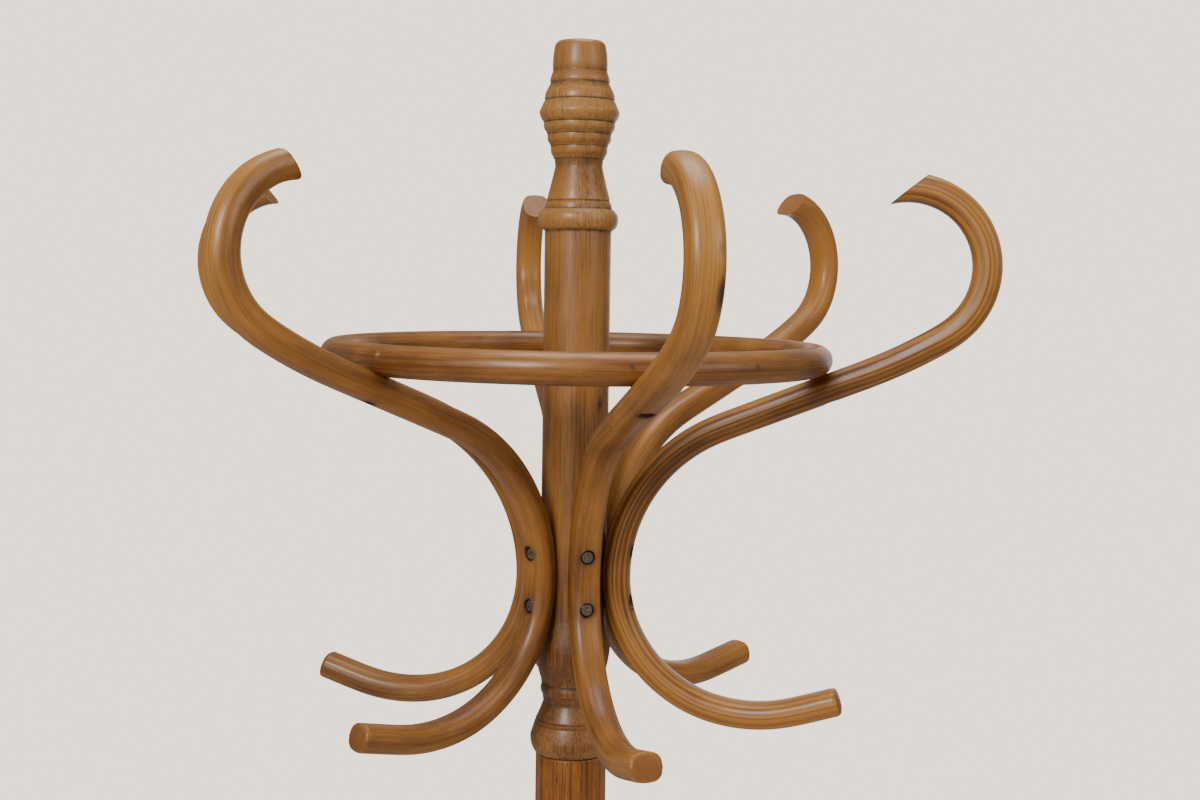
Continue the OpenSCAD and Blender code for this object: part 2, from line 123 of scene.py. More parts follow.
class ArmSizes(bpy.types.PropertyGroup):
    """Sizes that all six bentwood arms have in common."""

    width: length("Width", 22.5, "Width of an arm, across its bend")
    thickness: length("Thickness", 20.0, "Thickness of an arm, in the plane of its bend")
    rounding: length("Rounding", 7.0, "Radius along the edges of an arm")
    crown: length("Crown", 0.35, "How far the flats of an arm stand up in the middle")
    axis_gap: length("Distance from axis", 31.6, "From the post's axis to the middle of an arm")
    middle: length("Height of middle", 130.0, "Height of the arms' middle above the parting line")
    up_radius: length("Upper bend", 122.0, "Radius of the first bend up from the post")
    rise: angle("Rise", 21.6, "Rise of the straight part that carries the ring")
    up_straight: length("Upper straight", 100.0, "Length of the straight part under the ring")
    ease_radius: length("Easing bend", 350.0, "Radius of the slight bend outside the ring")
    ease_angle: angle("Easing angle", 10.0, "Angle of the slight bend outside the ring")
    hook_radius: length("Hook", 52.0, "Radius of the upper hook")
    hook_past: angle("Hook past top", 10.0, "How far the upper hook turns past its highest point")
    bevel_before: angle("Bevel start", 10.0, "Start of the tip's bevel, before the highest point")
    low_radius: length("Lower bend", 93.0, "Radius of the lower bend")
    low_angle: angle("Lower bend angle", 80.0, "Angle of the lower bend")
    low_hook_radius: length("Lower hook", 110.0, "Radius of the lower hook")
    low_hook_angle: angle("Lower hook angle", 28.4, "Angle of the lower hook")
    low_end: length("Lower end", 26.0, "Length of the straight lower end")
    end_round: length("End rounding", 3.2, "Rounding round the sawn lower end")


class LegSizes(bpy.types.PropertyGroup):
    """Sizes of the bent legs and of the umbrella ring that they hold."""

    width: length("Width", 28.0, "Width of a leg, across its bend")
    thickness: length("Thickness", 24.0, "Thickness of a leg, in the plane of its bend")
    rounding: length("Rounding", 8.5, "Radius along the edges of a leg")
    axis_gap: length("Distance from axis", 35.5, "From the post's axis to the middle of a leg")
    straight: length("Straight", 88.0, "Length of the straight part on the post")
    out_radius: length("Bend out", 150.0, "Radius of the bend out from the post")
    down_radius: length("Bend down", 280.0, "Radius of the bend down to the foot")
    bend: angle("Bend angle", 60.0, "Angle of both leg bends")
    foot: length("Foot", 60.0, "Length of the upright foot below the bend")
    foot_gap: length("Foot radius", 300.0, "Distance from the axis to the middle of a foot")


class WoodColours(bpy.types.PropertyGroup):
    """Colours of the varnished woods and of the fittings."""

    bent_light: colour("Bent wood, light", "#A9712B", "Early wood of the steam-bent beech")
    bent_dark: colour("Bent wood, dark", "#5E340A", "Late wood of the steam-bent beech")
    turned_light: colour("Turned wood, light", "#98652A", "Early wood of the turned posts")
    turned_dark: colour("Turned wood, dark", "#57300A", "Late wood of the turned posts")
    # painted shade: the column's colours are darker than the posts', for the shade under the arms
    column_light: colour("Column, light", "#9E5E1C", "Early wood of the column")
    column_dark: colour("Column, dark", "#3C1E04", "Late wood of the column")
    # painted shade: this dark colour is laid in the turned grooves, on each counterbore's wall and
    # where the arms meet the post and ring; it also colours the stain round the screws
    crevice: colour("Crevice", "#261405", "Old polish and dust in the turned grooves")
    screw: colour("Screws", "#90867B", "Blackened steel of the wood screws")


class StageSettings(bpy.types.PropertyGroup):
    """Camera, floor and light."""

    distance: length("Camera distance", 1061.0, "Distance of the camera in front of the axis")
    height: length("Camera height", 340.8, "Height of the camera above the parting line")
    pitch: angle("Pitch", -4.64, "Upward tilt of the camera")
    yaw: angle("Yaw", 0.934, "Turn of the camera to the right")
    roll: angle("Roll", 0.865, "Roll of the camera")
    lens: bpy.props.FloatProperty(
        name="Lens", description="Focal length for a 36 mm wide sensor", default=44.85, unit="CAMERA"
    )
    floor: colour("Floor", "#E4E0DA", "Pale plain floor")
    backdrop: colour("Backdrop", "#E8DCCE", "Pale plain surroundings")


class CoatRack(bpy.types.PropertyGroup):
    """All settings of the coat rack."""

    arms: bpy.props.PointerProperty(type=ArmSizes)
    legs: bpy.props.PointerProperty(type=LegSizes)
    colours: bpy.props.PointerProperty(type=WoodColours)
    stage: bpy.props.PointerProperty(type=StageSettings)


# ---------------------------------------------------------------- surfaces


def grid_faces(rows, columns, wrap_rows=False):
    """Quads of a grid whose columns run round: each joins a vertex to the next both ways."""
    count = rows if wrap_rows else rows - 1
    r, c = np.meshgrid(np.arange(count), np.arange(columns), indexing="ij")
    here = r * columns + c
    right = r * columns + (c + 1) % columns
    above = ((r + 1) % rows) * columns
    return np.stack([here, right, above + (c + 1) % columns, above + c], axis=-1).reshape(-1, 4)


def make_mesh(name, points, closed_rows=False):
    """A closed mesh from a grid of points, rows by columns, whose columns run round.

    An open grid is closed by one pole at the middle of its first row and one at that of its last.
    Six times the volume is the sum of a . (b x c) over the halves of the quads. Where that is
    negative the faces look inwards, and are turned round.
    """
    rows, columns, _ = points.shape
    vertices = points.reshape(-1, 3)
    quads = grid_faces(rows, columns, closed_rows)
    a, b, c, d = (vertices[quads[:, k]] - vertices.mean(axis=0) for k in range(4))
    volume = (a * (np.cross(b, c) + np.cross(c, d))).sum()
    faces = quads.tolist()
    if not closed_rows:
        low, high = len(vertices), len(vertices) + 1
        vertices = np.vstack([vertices, points[0].mean(axis=0), points[-1].mean(axis=0)])
        first = np.arange(columns)
        last = first + (rows - 1) * columns
        faces += np.stack([np.roll(first, -1), first, np.full(columns, low)], axis=-1).tolist()
        faces += np.stack([last, np.roll(last, -1), np.full(columns, high)], axis=-1).tolist()
    if volume < 0:
        faces = [face[::-1] for face in faces]
    mesh = bpy.data.meshes.new(name)
    mesh.from_pydata(vertices.tolist(), [], faces)
    mesh.update()
    return mesh


def show(name, mesh, material, body, nodes, sharp=35.0):
    """Puts a finished mesh in the scene as a piece, smooth but for edges sharper than an angle."""
    piece = bpy.data.objects.new(name, mesh)
    bpy.context.scene.collection.objects.link(piece)
    mesh.shade_smooth()
    mesh.set_sharp_from_angle(angle=radians(sharp))
    mesh.materials.clear()
    mesh.materials.append(material)
    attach(piece, body)
    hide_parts(*nodes)
    return piece


def join(name, meshes):
    """One mesh from several, each keeping its own vertices."""
    vertices, faces, start = [], [], 0
    for mesh in meshes:
        vertices.append(get_points(mesh))
        faces += [[v + start for v in polygon.vertices] for polygon in mesh.polygons]
        start += len(mesh.vertices)
        bpy.data.meshes.remove(mesh)
    joined = bpy.data.meshes.new(name)
    joined.from_pydata(np.vstack(vertices).tolist(), [], faces)
    joined.update()
    return joined


def cut(mesh, cutter):
    """The mesh with the cutter's volume taken away."""
    whole = bpy.data.objects.new("whole", mesh)
    tool = bpy.data.objects.new("tool", cutter)
    for item in (whole, tool):
        bpy.context.scene.collection.objects.link(item)
    boolean = whole.modifiers.new("cut", "BOOLEAN")
    boolean.operation = "DIFFERENCE"
    boolean.solver = "EXACT"
    boolean.object = tool
    bpy.context.view_layer.update()
    result = bpy.data.meshes.new_from_object(
        whole.evaluated_get(bpy.context.evaluated_depsgraph_get())
    )
    result.name = mesh.name
    for item in (whole, tool):
        bpy.data.objects.remove(item)
    bpy.data.meshes.remove(mesh)
    bpy.data.meshes.remove(cutter)
    return result


def store(mesh, **layers):
    """Stores a number or a vector for each vertex, by name. One number stands for all vertices."""
    for name, values in layers.items():
        values = np.asarray(values, float)
        vector = values.ndim > 1
        if not vector:
            values = values + np.zeros(len(mesh.vertices))
        layer = mesh.attributes.new(name, "FLOAT_VECTOR" if vector else "FLOAT", "POINT")
        layer.data.foreach_set("vector" if vector else "value", values.ravel())


def get_points(mesh):
    """Vertex positions as an array."""
    flat = np.empty(len(mesh.vertices) * 3)
    mesh.vertices.foreach_get("co", flat)
    return flat.reshape(-1, 3)


def turned(points, turn):
    """Points with X outwards moved to an angle about the axis, counted from -Y towards +X."""
    out = np.array([sin(turn), -cos(turn), 0.0])
    along = np.array([cos(turn), sin(turn), 0.0])
    up = np.array([0.0, 0.0, 1.0])
    return points[..., :1] * out + points[..., 1:2] * along + points[..., 2:] * up


def turned_in(points, turn):
    """The inverse of turned."""
    out = points @ np.array([sin(turn), -cos(turn), 0.0])
    along = points @ np.array([cos(turn), sin(turn), 0.0])
    return np.stack([out, along, points[..., 2]], axis=-1)


# ---------------------------------------------------------------- turned wood


def arc(start, end, sagitta, step=0.35):
    """Points from start to end, in millimetres, along a circle that bows out by sagitta.

    The centre is on the chord's normal, (chord^2 / 4 + sagitta^2) / (2 sagitta) from the arc.
    A sagitta of 0 is a straight line.
    """
    start, end = np.array(start, float), np.array(end, float)
    chord = end - start
    size = np.hypot(*chord)
    count = max(2, int(size / step) + 1)
    t = np.linspace(-0.5, 0.5, count)
    middle = (start + end) / 2
    if abs(sagitta) < 1e-9:
        bow = np.zeros(count)
    else:
        radius = (size * size / 4 + sagitta * sagitta) / (2 * sagitta)
        bow = np.sign(sagitta) * np.sqrt(radius * radius - (t * size) ** 2) - (radius - sagitta)
    normal = np.array([-chord[1], chord[0]]) / size
    return middle + t[:, None] * chord + bow[:, None] * normal


def profile(cuts, soft=0.35, crevice_reach=2.2):
    """Outline of turned wood from (height, radius, sagitta) cuts, in millimetres.

    Returns heights, radii and how deep each point lies in a groove, 0 to 1. The outline is softened
    by a bell-shaped average about soft wide, and a groove is where the radius is under such an
    average that is crevice_reach wide. Points that lie on a straight line between their neighbours
    are dropped.
    """
    step, full_depth, straight, longest, tiny = 0.35, 0.55, 0.012, 7.0, 1e-6
    runs = [arc(a[:2], b[:2], b[2], step) for a, b in zip(cuts, cuts[1:])]
    line = np.vstack([runs[0]] + [run[1:] for run in runs[1:]])

    def average(values, width):
        reach = int(3 * width / step) + 1
        weights = np.exp(-0.5 * (np.arange(-reach, reach + 1) * step / width) ** 2)
        padded = np.concatenate([np.full(reach, values[0]), values, np.full(reach, values[-1])])
        return np.convolve(padded, weights / weights.sum(), mode="valid")

    height, radius = average(line[:, 0], soft), average(line[:, 1], soft)
    height[0], height[-1] = line[0, 0], line[-1, 0]
    groove = np.clip((average(radius, crevice_reach) - radius) / full_depth, 0.0, 1.0)
    keep = [0]
    for i in range(1, len(height) - 1):
        last = keep[-1]
        span = height[i + 1] - height[last]
        share = (height[i] - height[last]) / span if abs(span) > tiny else 0.0
        on_line = radius[last] + share * (radius[i + 1] - radius[last])
        bent = abs(on_line - radius[i]) > straight
        if bent or height[i] - height[last] > longest or abs(span) < tiny:
            keep.append(i)
    keep.append(len(height) - 1)
    return height[keep], radius[keep], groove[keep]


def lathe(name, outline, base_z, columns=112):
    """A turned solid: the outline carried round the axis, from base_z up.

    A vertex is at (r cos a, r sin a, z).
    """
    height, radius, groove = outline
    a = np.linspace(0, 2 * pi, columns, endpoint=False)
    r = radius[:, None] * MM
    z = np.broadcast_to(base_z + height[:, None] * MM, (len(height), columns))
    mesh = make_mesh(name, np.stack([r * np.cos(a), r * np.sin(a), z], axis=-1))
    # painted shade: the deeper a groove, the darker its wood is painted
    store(mesh, crevice=np.concatenate([np.repeat(groove, columns), [0.0, 0.0]]))
    return mesh


# Outlines of the head post, from its lower face up, and of its finial, from its collar up:
# height, radius, and how far the line to the next point bows out.
FOOT_CUTS = [
    # base bead and step
    (0.0, 25.8, 0.0),
    (0.5, 27.2, 0.7),
    (11.0, 29.6, 0.85),
    (20.6, 26.6, 0.0),
    (21.0, 25.6, 0.0),
    (21.4, 25.9, 0.0),
    (23.5, 25.8, 0.0),
    # waist and ridge
    (24.0, 25.3, -1.39),
    (36.0, 20.5, -0.29),
    (41.9, 21.5, 0.0),
    (42.3, 22.1, 0.15),
    (47.5, 22.3, 0.4),
    (50.2, 21.5, 0.0),
    (50.5, 21.3, 0.0),
    # swell
    (51.0, 22.0, 1.32),
    (76.0, 27.3, 0.93),
    (97.3, 23.6, 0.0),
]
FINIAL_L = 131.3
FINIAL_CUTS = [
    # collar and band
    (-0.4, 23.5, 0.0),
    (0.0, 23.3, 0.0),
    (0.4, 24.3, 0.5),
    (3.6, 27.5, 0.5),
    (11.2, 27.9, 0.6),
    (14.6, 25.2, 0.0),
    (15.2, 23.7, 0.0),
    (15.8, 23.9, 0.2),
    (19.4, 23.0, 0.0),
    (19.9, 22.4, 0.0),
    (20.3, 22.5, 0.0),
    # flare and neck
    (20.7, 22.6, -1.4),
    (44.4, 16.7, -0.15),
    (50.0, 17.1, 0.0),
    # three lips, each with its lower edge rounded
    (50.4, 17.0, 0.0),
    (50.8, 17.7, 1.0),
    (54.2, 19.8, 0.15),
    (58.4, 19.9, 0.1),
    (59.0, 19.5, 0.0),
    (59.5, 20.0, 1.0),
    (62.8, 22.3, 0.15),
    (66.8, 22.4, 0.1),
    (67.4, 21.9, 0.0),
    (67.9, 22.5, 1.0),
    (71.2, 24.9, 0.15),
    (74.9, 25.0, 0.1),
    (75.4, 24.4, 0.0),
    # big bead
    (75.9, 25.2, 0.85),
    (82.8, 28.1, 0.8),
    (89.8, 25.0, 0.0),
    (90.5, 24.0, 0.0),
    # two shelves that draw in upwards
    (91.1, 24.6, 0.35),
    (97.4, 23.2, 0.45),
    (102.2, 20.6, 0.0),
    (102.7, 20.3, 0.0),
    (103.2, 20.9, 0.25),
    (107.2, 20.2, 0.3),
    (110.2, 19.2, 0.0),
    (110.7, 18.8, 0.0),
    # stub
    (111.2, 19.1, 0.0),
    (128.9, 17.7, 0.65),
    (131.3, 15.4, 0.12),
    (131.3, 6.0, 0.0),
]


# ---------------------------------------------------------------- bent wood


class CentreLine:
    """Centre line of a bent piece, in the plane of radius and height.

    It starts at a point, pointing up. Above it, and below it mirrored, follow stretches of
    (length, curvature). The curvature is averaged over a short window, as wood has no sudden change
    of bend. The heading is the sum of curvature times step, and the point the sum of
    (sin heading, cos heading) times step.
    """

    STEP = 0.25 * MM
    PAST = 20 * MM

    def __init__(self, start, above, below=(), window=22 * MM):
        self.start = start
        self.high = sum(size for size, _ in above)
        self.low = -sum(size for size, _ in below)
        count = int((self.high + self.PAST) / self.STEP)
        under = int((self.PAST - self.low) / self.STEP)
        self.s = np.arange(-under, count + 1) * self.STEP
        stretches = [(-size, bend) for size, bend in reversed(below)] + list(above)
        edges = self.low + np.cumsum([abs(size) for size, _ in stretches])
        which = np.clip(np.searchsorted(edges, self.s), 0, len(stretches) - 1)
        bend = np.array([bend for _, bend in stretches])[which]
        reach = int(window / self.STEP / 2)
        padded = np.concatenate([np.full(reach, bend[0]), bend, np.full(reach, bend[-1])])
        bend = np.convolve(padded, np.full(2 * reach + 1, 1 / (2 * reach + 1)), mode="valid")
        self.heading = self.total(bend, under)
        self.radius = start[0] + self.total(np.sin(self.heading), under)
        self.height = start[1] + self.total(np.cos(self.heading), under)

    def total(self, values, zero):
        """Running sum of values times step, by trapezoids, that is 0 at an index."""
        sums = np.concatenate([[0.0], np.cumsum((values[1:] + values[:-1]) / 2 * self.STEP)])
        return sums - sums[zero]

    def at(self, s):
        """Radius, height and heading at each signed distance from the start."""
        return tuple(np.interp(s, self.s, v) for v in (self.radius, self.height, self.heading))

    def place(self, x, y, s):
        """Points x outwards and y sideways of the line at distance s."""
        radius, height, heading = self.at(s)
        return np.stack([radius + x * np.cos(heading), y, height - x * np.sin(heading)], axis=-1)

    def stock(self, points):
        """The inverse of place: x, y and s of each point, as if the piece were straight again."""
        s, radius, height = self.s[::2], self.radius[::2], self.height[::2]
        nearest = np.empty(len(points))
        for block in np.array_split(np.arange(len(points)), max(1, len(points) // 4000)):
            away = (points[block, :1] - radius) ** 2 + (points[block, 2:] - height) ** 2
            nearest[block] = s[away.argmin(axis=1)]
        radius, height, heading = self.at(nearest)
        across, up = points[:, 0] - radius, points[:, 2] - height
        x = across * np.cos(heading) - up * np.sin(heading)
        ahead = across * np.sin(heading) + up * np.cos(heading)
        return np.stack([x, points[:, 1], nearest + ahead], axis=-1)


def outline(corner_points=7, flat_points=5):
    """Directions of a rounded section: u, v and a, for points that run round it.

    A point is at (u (half_t - c) + c cos a, v (half_w - c) + c sin a), c being the corner's radius.
    Round a corner u and v stay at 1 or -1 while a turns; along a flat a stands still.
    """
    signs = np.array([[1, 1], [-1, 1], [-1, -1], [1, -1]], float)
    run = np.linspace(0, 1, flat_points + 2)[1:-1, None]
    parts = []
    for k in range(4):
        turn = np.linspace(k, k + 1, corner_points) * pi / 2
        parts.append(np.column_stack([np.tile(signs[k], (corner_points, 1)), turn]))
        flat = signs[k] + run * (signs[(k + 1) % 4] - signs[k])
        parts.append(np.column_stack([flat, np.full(flat_points, (k + 1) * pi / 2)]))
    return np.vstack(parts).T


def bent_points(line, s, half_t, half_w, corner, crown):
    """Grid of a bent piece: at each distance s its section, crowned, stands across the centre line.

    On the flats c grows by crown (1 - u^2 v^2), so that they stand up in the middle.
    """
    u, v, a = outline()
    rise = crown * (1 - (u * v) ** 2)
    half_t, half_w, corner = (np.broadcast_to(w, s.shape)[:, None] for w in (half_t, half_w, corner))
    x = u * (half_t - corner - crown) + (corner + rise) * np.cos(a)
    y = v * (half_w - corner - crown) + (corner + rise) * np.sin(a)
    return line.place(x, y, np.broadcast_to(s[:, None], x.shape))


def about(origin, axis, heights, radii, columns=40, sink=None):
    """A turned solid about any axis, with radii at heights along it. sink(x, y, h) lowers points."""
    origin, axis = np.array(origin, float), np.array(axis, float)
    axis /= np.linalg.norm(axis)
    side = np.cross(axis, [0.0, 0.0, 1.0] if abs(axis[2]) < 0.9 else [1.0, 0.0, 0.0])
    side /= np.linalg.norm(side)
    other = np.cross(axis, side)
    a = np.linspace(0, 2 * pi, columns, endpoint=False)
    r, h = np.array(radii, float)[:, None], np.array(heights, float)[:, None]
    x, y = r * np.cos(a), r * np.sin(a)
    h = np.broadcast_to(h, x.shape) - (0 if sink is None else sink(x, y, h))
    points = origin + x[..., None] * side + y[..., None] * other + h[..., None] * axis
    return make_mesh("turned", points)


def direction(turn, outwards, upwards):
    """Unit vector, outwards at an angle about the axis, and upwards."""
    return np.array([outwards * sin(turn), -outwards * cos(turn), upwards])


def wave(values, *waves):
    """Sum of sines, each a (height, wavelength, shift) triple."""
    return sum(height * np.sin(2 * pi * values / size + shift) for height, size, shift in waves)


# ---------------------------------------------------------------- the arms' places

# degrees about the axis, then lengths: gaps between two screws, seats from the axis, counterbores,
# how far from a screw its stain reaches, and how the rings are let in and screwed on
ARM_TURNS = [13.7, 76.1, 132.4, 188.9, 256.6, 313.3]
SCREW_GAP = 37.0 * MM
ARM_SEAT = 38.7 * MM
LEG_SEAT = 44.6 * MM
LEG_SCREW_GAP = 50 * MM
COUNTER_R = 4.9 * MM
COUNTER_DEPTH = 4.0 * MM
NEAR_SEAT = 9 * MM
STAIN_REACH = 2.6 * MM
WALL = 0.12 * MM
RING_OVERLAP = 1.0 * MM
RING_TO_SEAT = 25.0 * MM
RING_R, RING_TUBE = 168.5 * MM, 10.5 * MM
KEEPER_R, KEEPER_TUBE = 185.0 * MM, 9.0 * MM
RING_Z = (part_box("hat_ring")[0][2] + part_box("hat_ring")[1][2]) / 2
KEEPER_Z = (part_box("umbrella_ring")[0][2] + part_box("umbrella_ring")[1][2]) / 2


# what bending by hand left different from arm to arm, added to the common sizes
ARM_HAND = [
    {"hook_past": radians(-8), "low_end": 11 * MM, "low_hook_angle": radians(-3)},
    {"hook_past": radians(6), "low_end": 5 * MM, "up_radius": -4 * MM, "up_straight": 4 * MM,
     "hook_radius": 1.5 * MM, "rise": radians(0.9), "bevel_before": radians(2)},
    {"hook_past": radians(-6), "low_end": 14 * MM, "low_hook_angle": radians(-9),
     "rise": radians(1.0), "bevel_before": radians(4)},
    {"hook_past": radians(-1)},
    {"hook_past": radians(-11), "low_end": 4 * MM, "bevel_before": radians(6),
     "up_straight": -2 * MM},
    {"hook_past": radians(-14), "low_end": 8 * MM, "low_hook_angle": radians(-4),
     "rise": radians(0.6), "hook_radius": 1.5 * MM, "up_straight": 1 * MM,
     "bevel_before": radians(4), "width": -1.5 * MM},
]


def arm_sizes(sizes, change):
    """The sizes of one arm by name: the common ones with what is different about it added."""
    return SimpleNamespace(**{
        key: getattr(sizes, key) + change.get(key, 0.0) for key in sizes.__annotations__
    })


def arm_line(sizes):
    """Centre line of an arm."""
    rest = pi / 2 - sizes.rise
    hook = rest - sizes.ease_angle + pi / 2 + sizes.hook_past
    above = [
        (sizes.up_radius * rest, 1 / sizes.up_radius),
        (sizes.up_straight, 0.0),
        (sizes.ease_radius * sizes.ease_angle, -1 / sizes.ease_radius),
        (sizes.hook_radius * hook, -1 / sizes.hook_radius),
    ]
    below = [
        (sizes.low_radius * sizes.low_angle, 1 / sizes.low_radius),
        (sizes.low_hook_radius * sizes.low_hook_angle, 1 / sizes.low_hook_radius),
        (sizes.low_end, 0.0),
    ]
    return CentreLine((sizes.axis_gap, PART_Z + sizes.middle), above, below)


def leg_line(sizes):
    """Centre line of a leg. The middle stretch between its bends is as long as the foot needs."""
    across = (sizes.out_radius + sizes.down_radius) * (1 - cos(sizes.bend))
    middle = (sizes.foot_gap - sizes.axis_gap - across) / sin(sizes.bend)
    fall = (sizes.out_radius + sizes.down_radius) * sin(sizes.bend) + middle * cos(sizes.bend)
    start_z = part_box("foot_glides")[1][2] + sizes.foot + fall
    below = [
        (sizes.out_radius * sizes.bend, 1 / sizes.out_radius),
        (middle, 0.0),
        (sizes.down_radius * sizes.bend, -1 / sizes.down_radius),
        (sizes.foot, 0.0),
    ]
    return CentreLine((sizes.axis_gap, start_z), [(sizes.straight, 0.0)], below, 1 * MM)


def ring_screw(turn, rise):
    """Seat and upward axis of the screw that holds the hat ring on an arm."""
    axis = direction(turn, -sin(rise), cos(rise))
    centre = direction(turn, RING_R, RING_Z)
    return centre - RING_TO_SEAT * axis, axis


def keeper_screw(turn, sizes):
    """Seat and inward axis of the screw that holds the umbrella ring on a leg."""
    rho = sizes.foot_gap - sizes.down_radius
    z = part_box("foot_glides")[1][2] + sizes.foot
    out = np.array([KEEPER_R - rho, KEEPER_Z - z])
    out /= np.hypot(*out)
    axis = direction(turn, -out[0], -out[1])
    reach = KEEPER_TUBE + sizes.thickness - RING_OVERLAP - COUNTER_DEPTH
    return direction(turn, KEEPER_R, KEEPER_Z) - reach * axis, axis


def counterbores(seats):
    """Cutters for the holes that the screw heads sit in, from (seat, inward axis) pairs."""
    heights = np.array([0.0, 0.15, 2.4, 3.2, 12.0]) * MM
    radii = np.array([0.97, 1.0, 1.0, 1.04, 1.45]) * COUNTER_R
    return join("holes", [about(seat, -axis, heights, radii) for seat, axis in seats])


def arm_seats(turn, sizes):
    """Seats and inward axes of the screws through an arm."""
    z = PART_Z + sizes.middle
    inward = direction(turn, -1.0, 0.0)
    pair = [(direction(turn, ARM_SEAT, z + side * SCREW_GAP / 2), inward) for side in (-1, 1)]
    return pair + [ring_screw(turn, sizes.rise)]


def leg_seats(turn, sizes, line):
    """Seats and inward axes of the screws through a leg."""
    z = line.start[1] + sizes.straight / 2 + 5 * MM
    inward = direction(turn, -1.0, 0.0)
    pair = [(direction(turn, LEG_SEAT, z + side * LEG_SCREW_GAP / 2), inward) for side in (-1, 1)]
    return pair + [keeper_screw(turn, sizes)]


def distance_to_seats(points, seats):
    """Distance of each point to the nearest screw's axis, or 1 m if no seat is near along it."""
    best = np.full(len(points), 1.0)
    for seat, axis in seats:
        away = points - seat
        along = away @ axis
        off = np.linalg.norm(away - along[:, None] * axis, axis=1)
        best = np.minimum(best, np.where(np.abs(along) < NEAR_SEAT, off, 1.0))
    return best


def paint_bent(mesh, line, turn, seats, seed, bold, tilt):
    """Stores what the wood's pattern is worked out from.

    grain is the place in the straight stick, counted from a pith that lies outside it, with a
    shift along the stick for each piece. stain falls off round the screws as exp(-distance / reach),
    and deep is 1 on a counterbore's wall, where painted shade is laid. bold is how strong the layers
    show.
    """
    points = get_points(mesh)
    stick = line.stock(turned_in(points, turn))
    pith = np.array([cos(tilt), sin(tilt)]) * (0.055 + 0.02 * (seed % 3))
    grain = np.column_stack([stick[:, 0] + pith[0], stick[:, 1] + pith[1], stick[:, 2] + 2.7 * seed])
    near = distance_to_seats(points, seats)
    stain = np.clip(np.exp(-np.maximum(near - COUNTER_R, 0) / STAIN_REACH), 0, 1)
    store(mesh, grain=grain, stain=stain, deep=near < COUNTER_R + WALL, bold=bold)
    return points, stick


# ---------------------------------------------------------------- materials


def add(tree, kind, sets=(), ins=(), out=None):
    """Adds a node, sets its own settings, and gives its sockets a value or a link.

    Returns the node, or one of its outputs.
    """
    node = tree.nodes.new("ShaderNode" + kind)
    for key, value in dict(sets).items():
        setattr(node, key, value)
    for key, value in dict(ins).items():
        if isinstance(value, bpy.types.NodeSocket):
            tree.links.new(value, node.inputs[key])
        else:
            node.inputs[key].default_value = value
    return node if out is None else node.outputs[out]


def new_material(name):
    """An empty node material. Returns it, and add for its nodes."""
    material = bpy.data.materials.new(name)
    material.use_nodes = True
    material.node_tree.nodes.clear()
    return material, partial(add, material.node_tree)


def shade(node, **ins):
    """Ends a material with its shader and output. A socket's name has _ for a space."""
    ins = {key.replace("_", " "): value for key, value in ins.items()}
    node("OutputMaterial", ins={"Surface": node("BsdfPrincipled", ins=ins, out=0)})


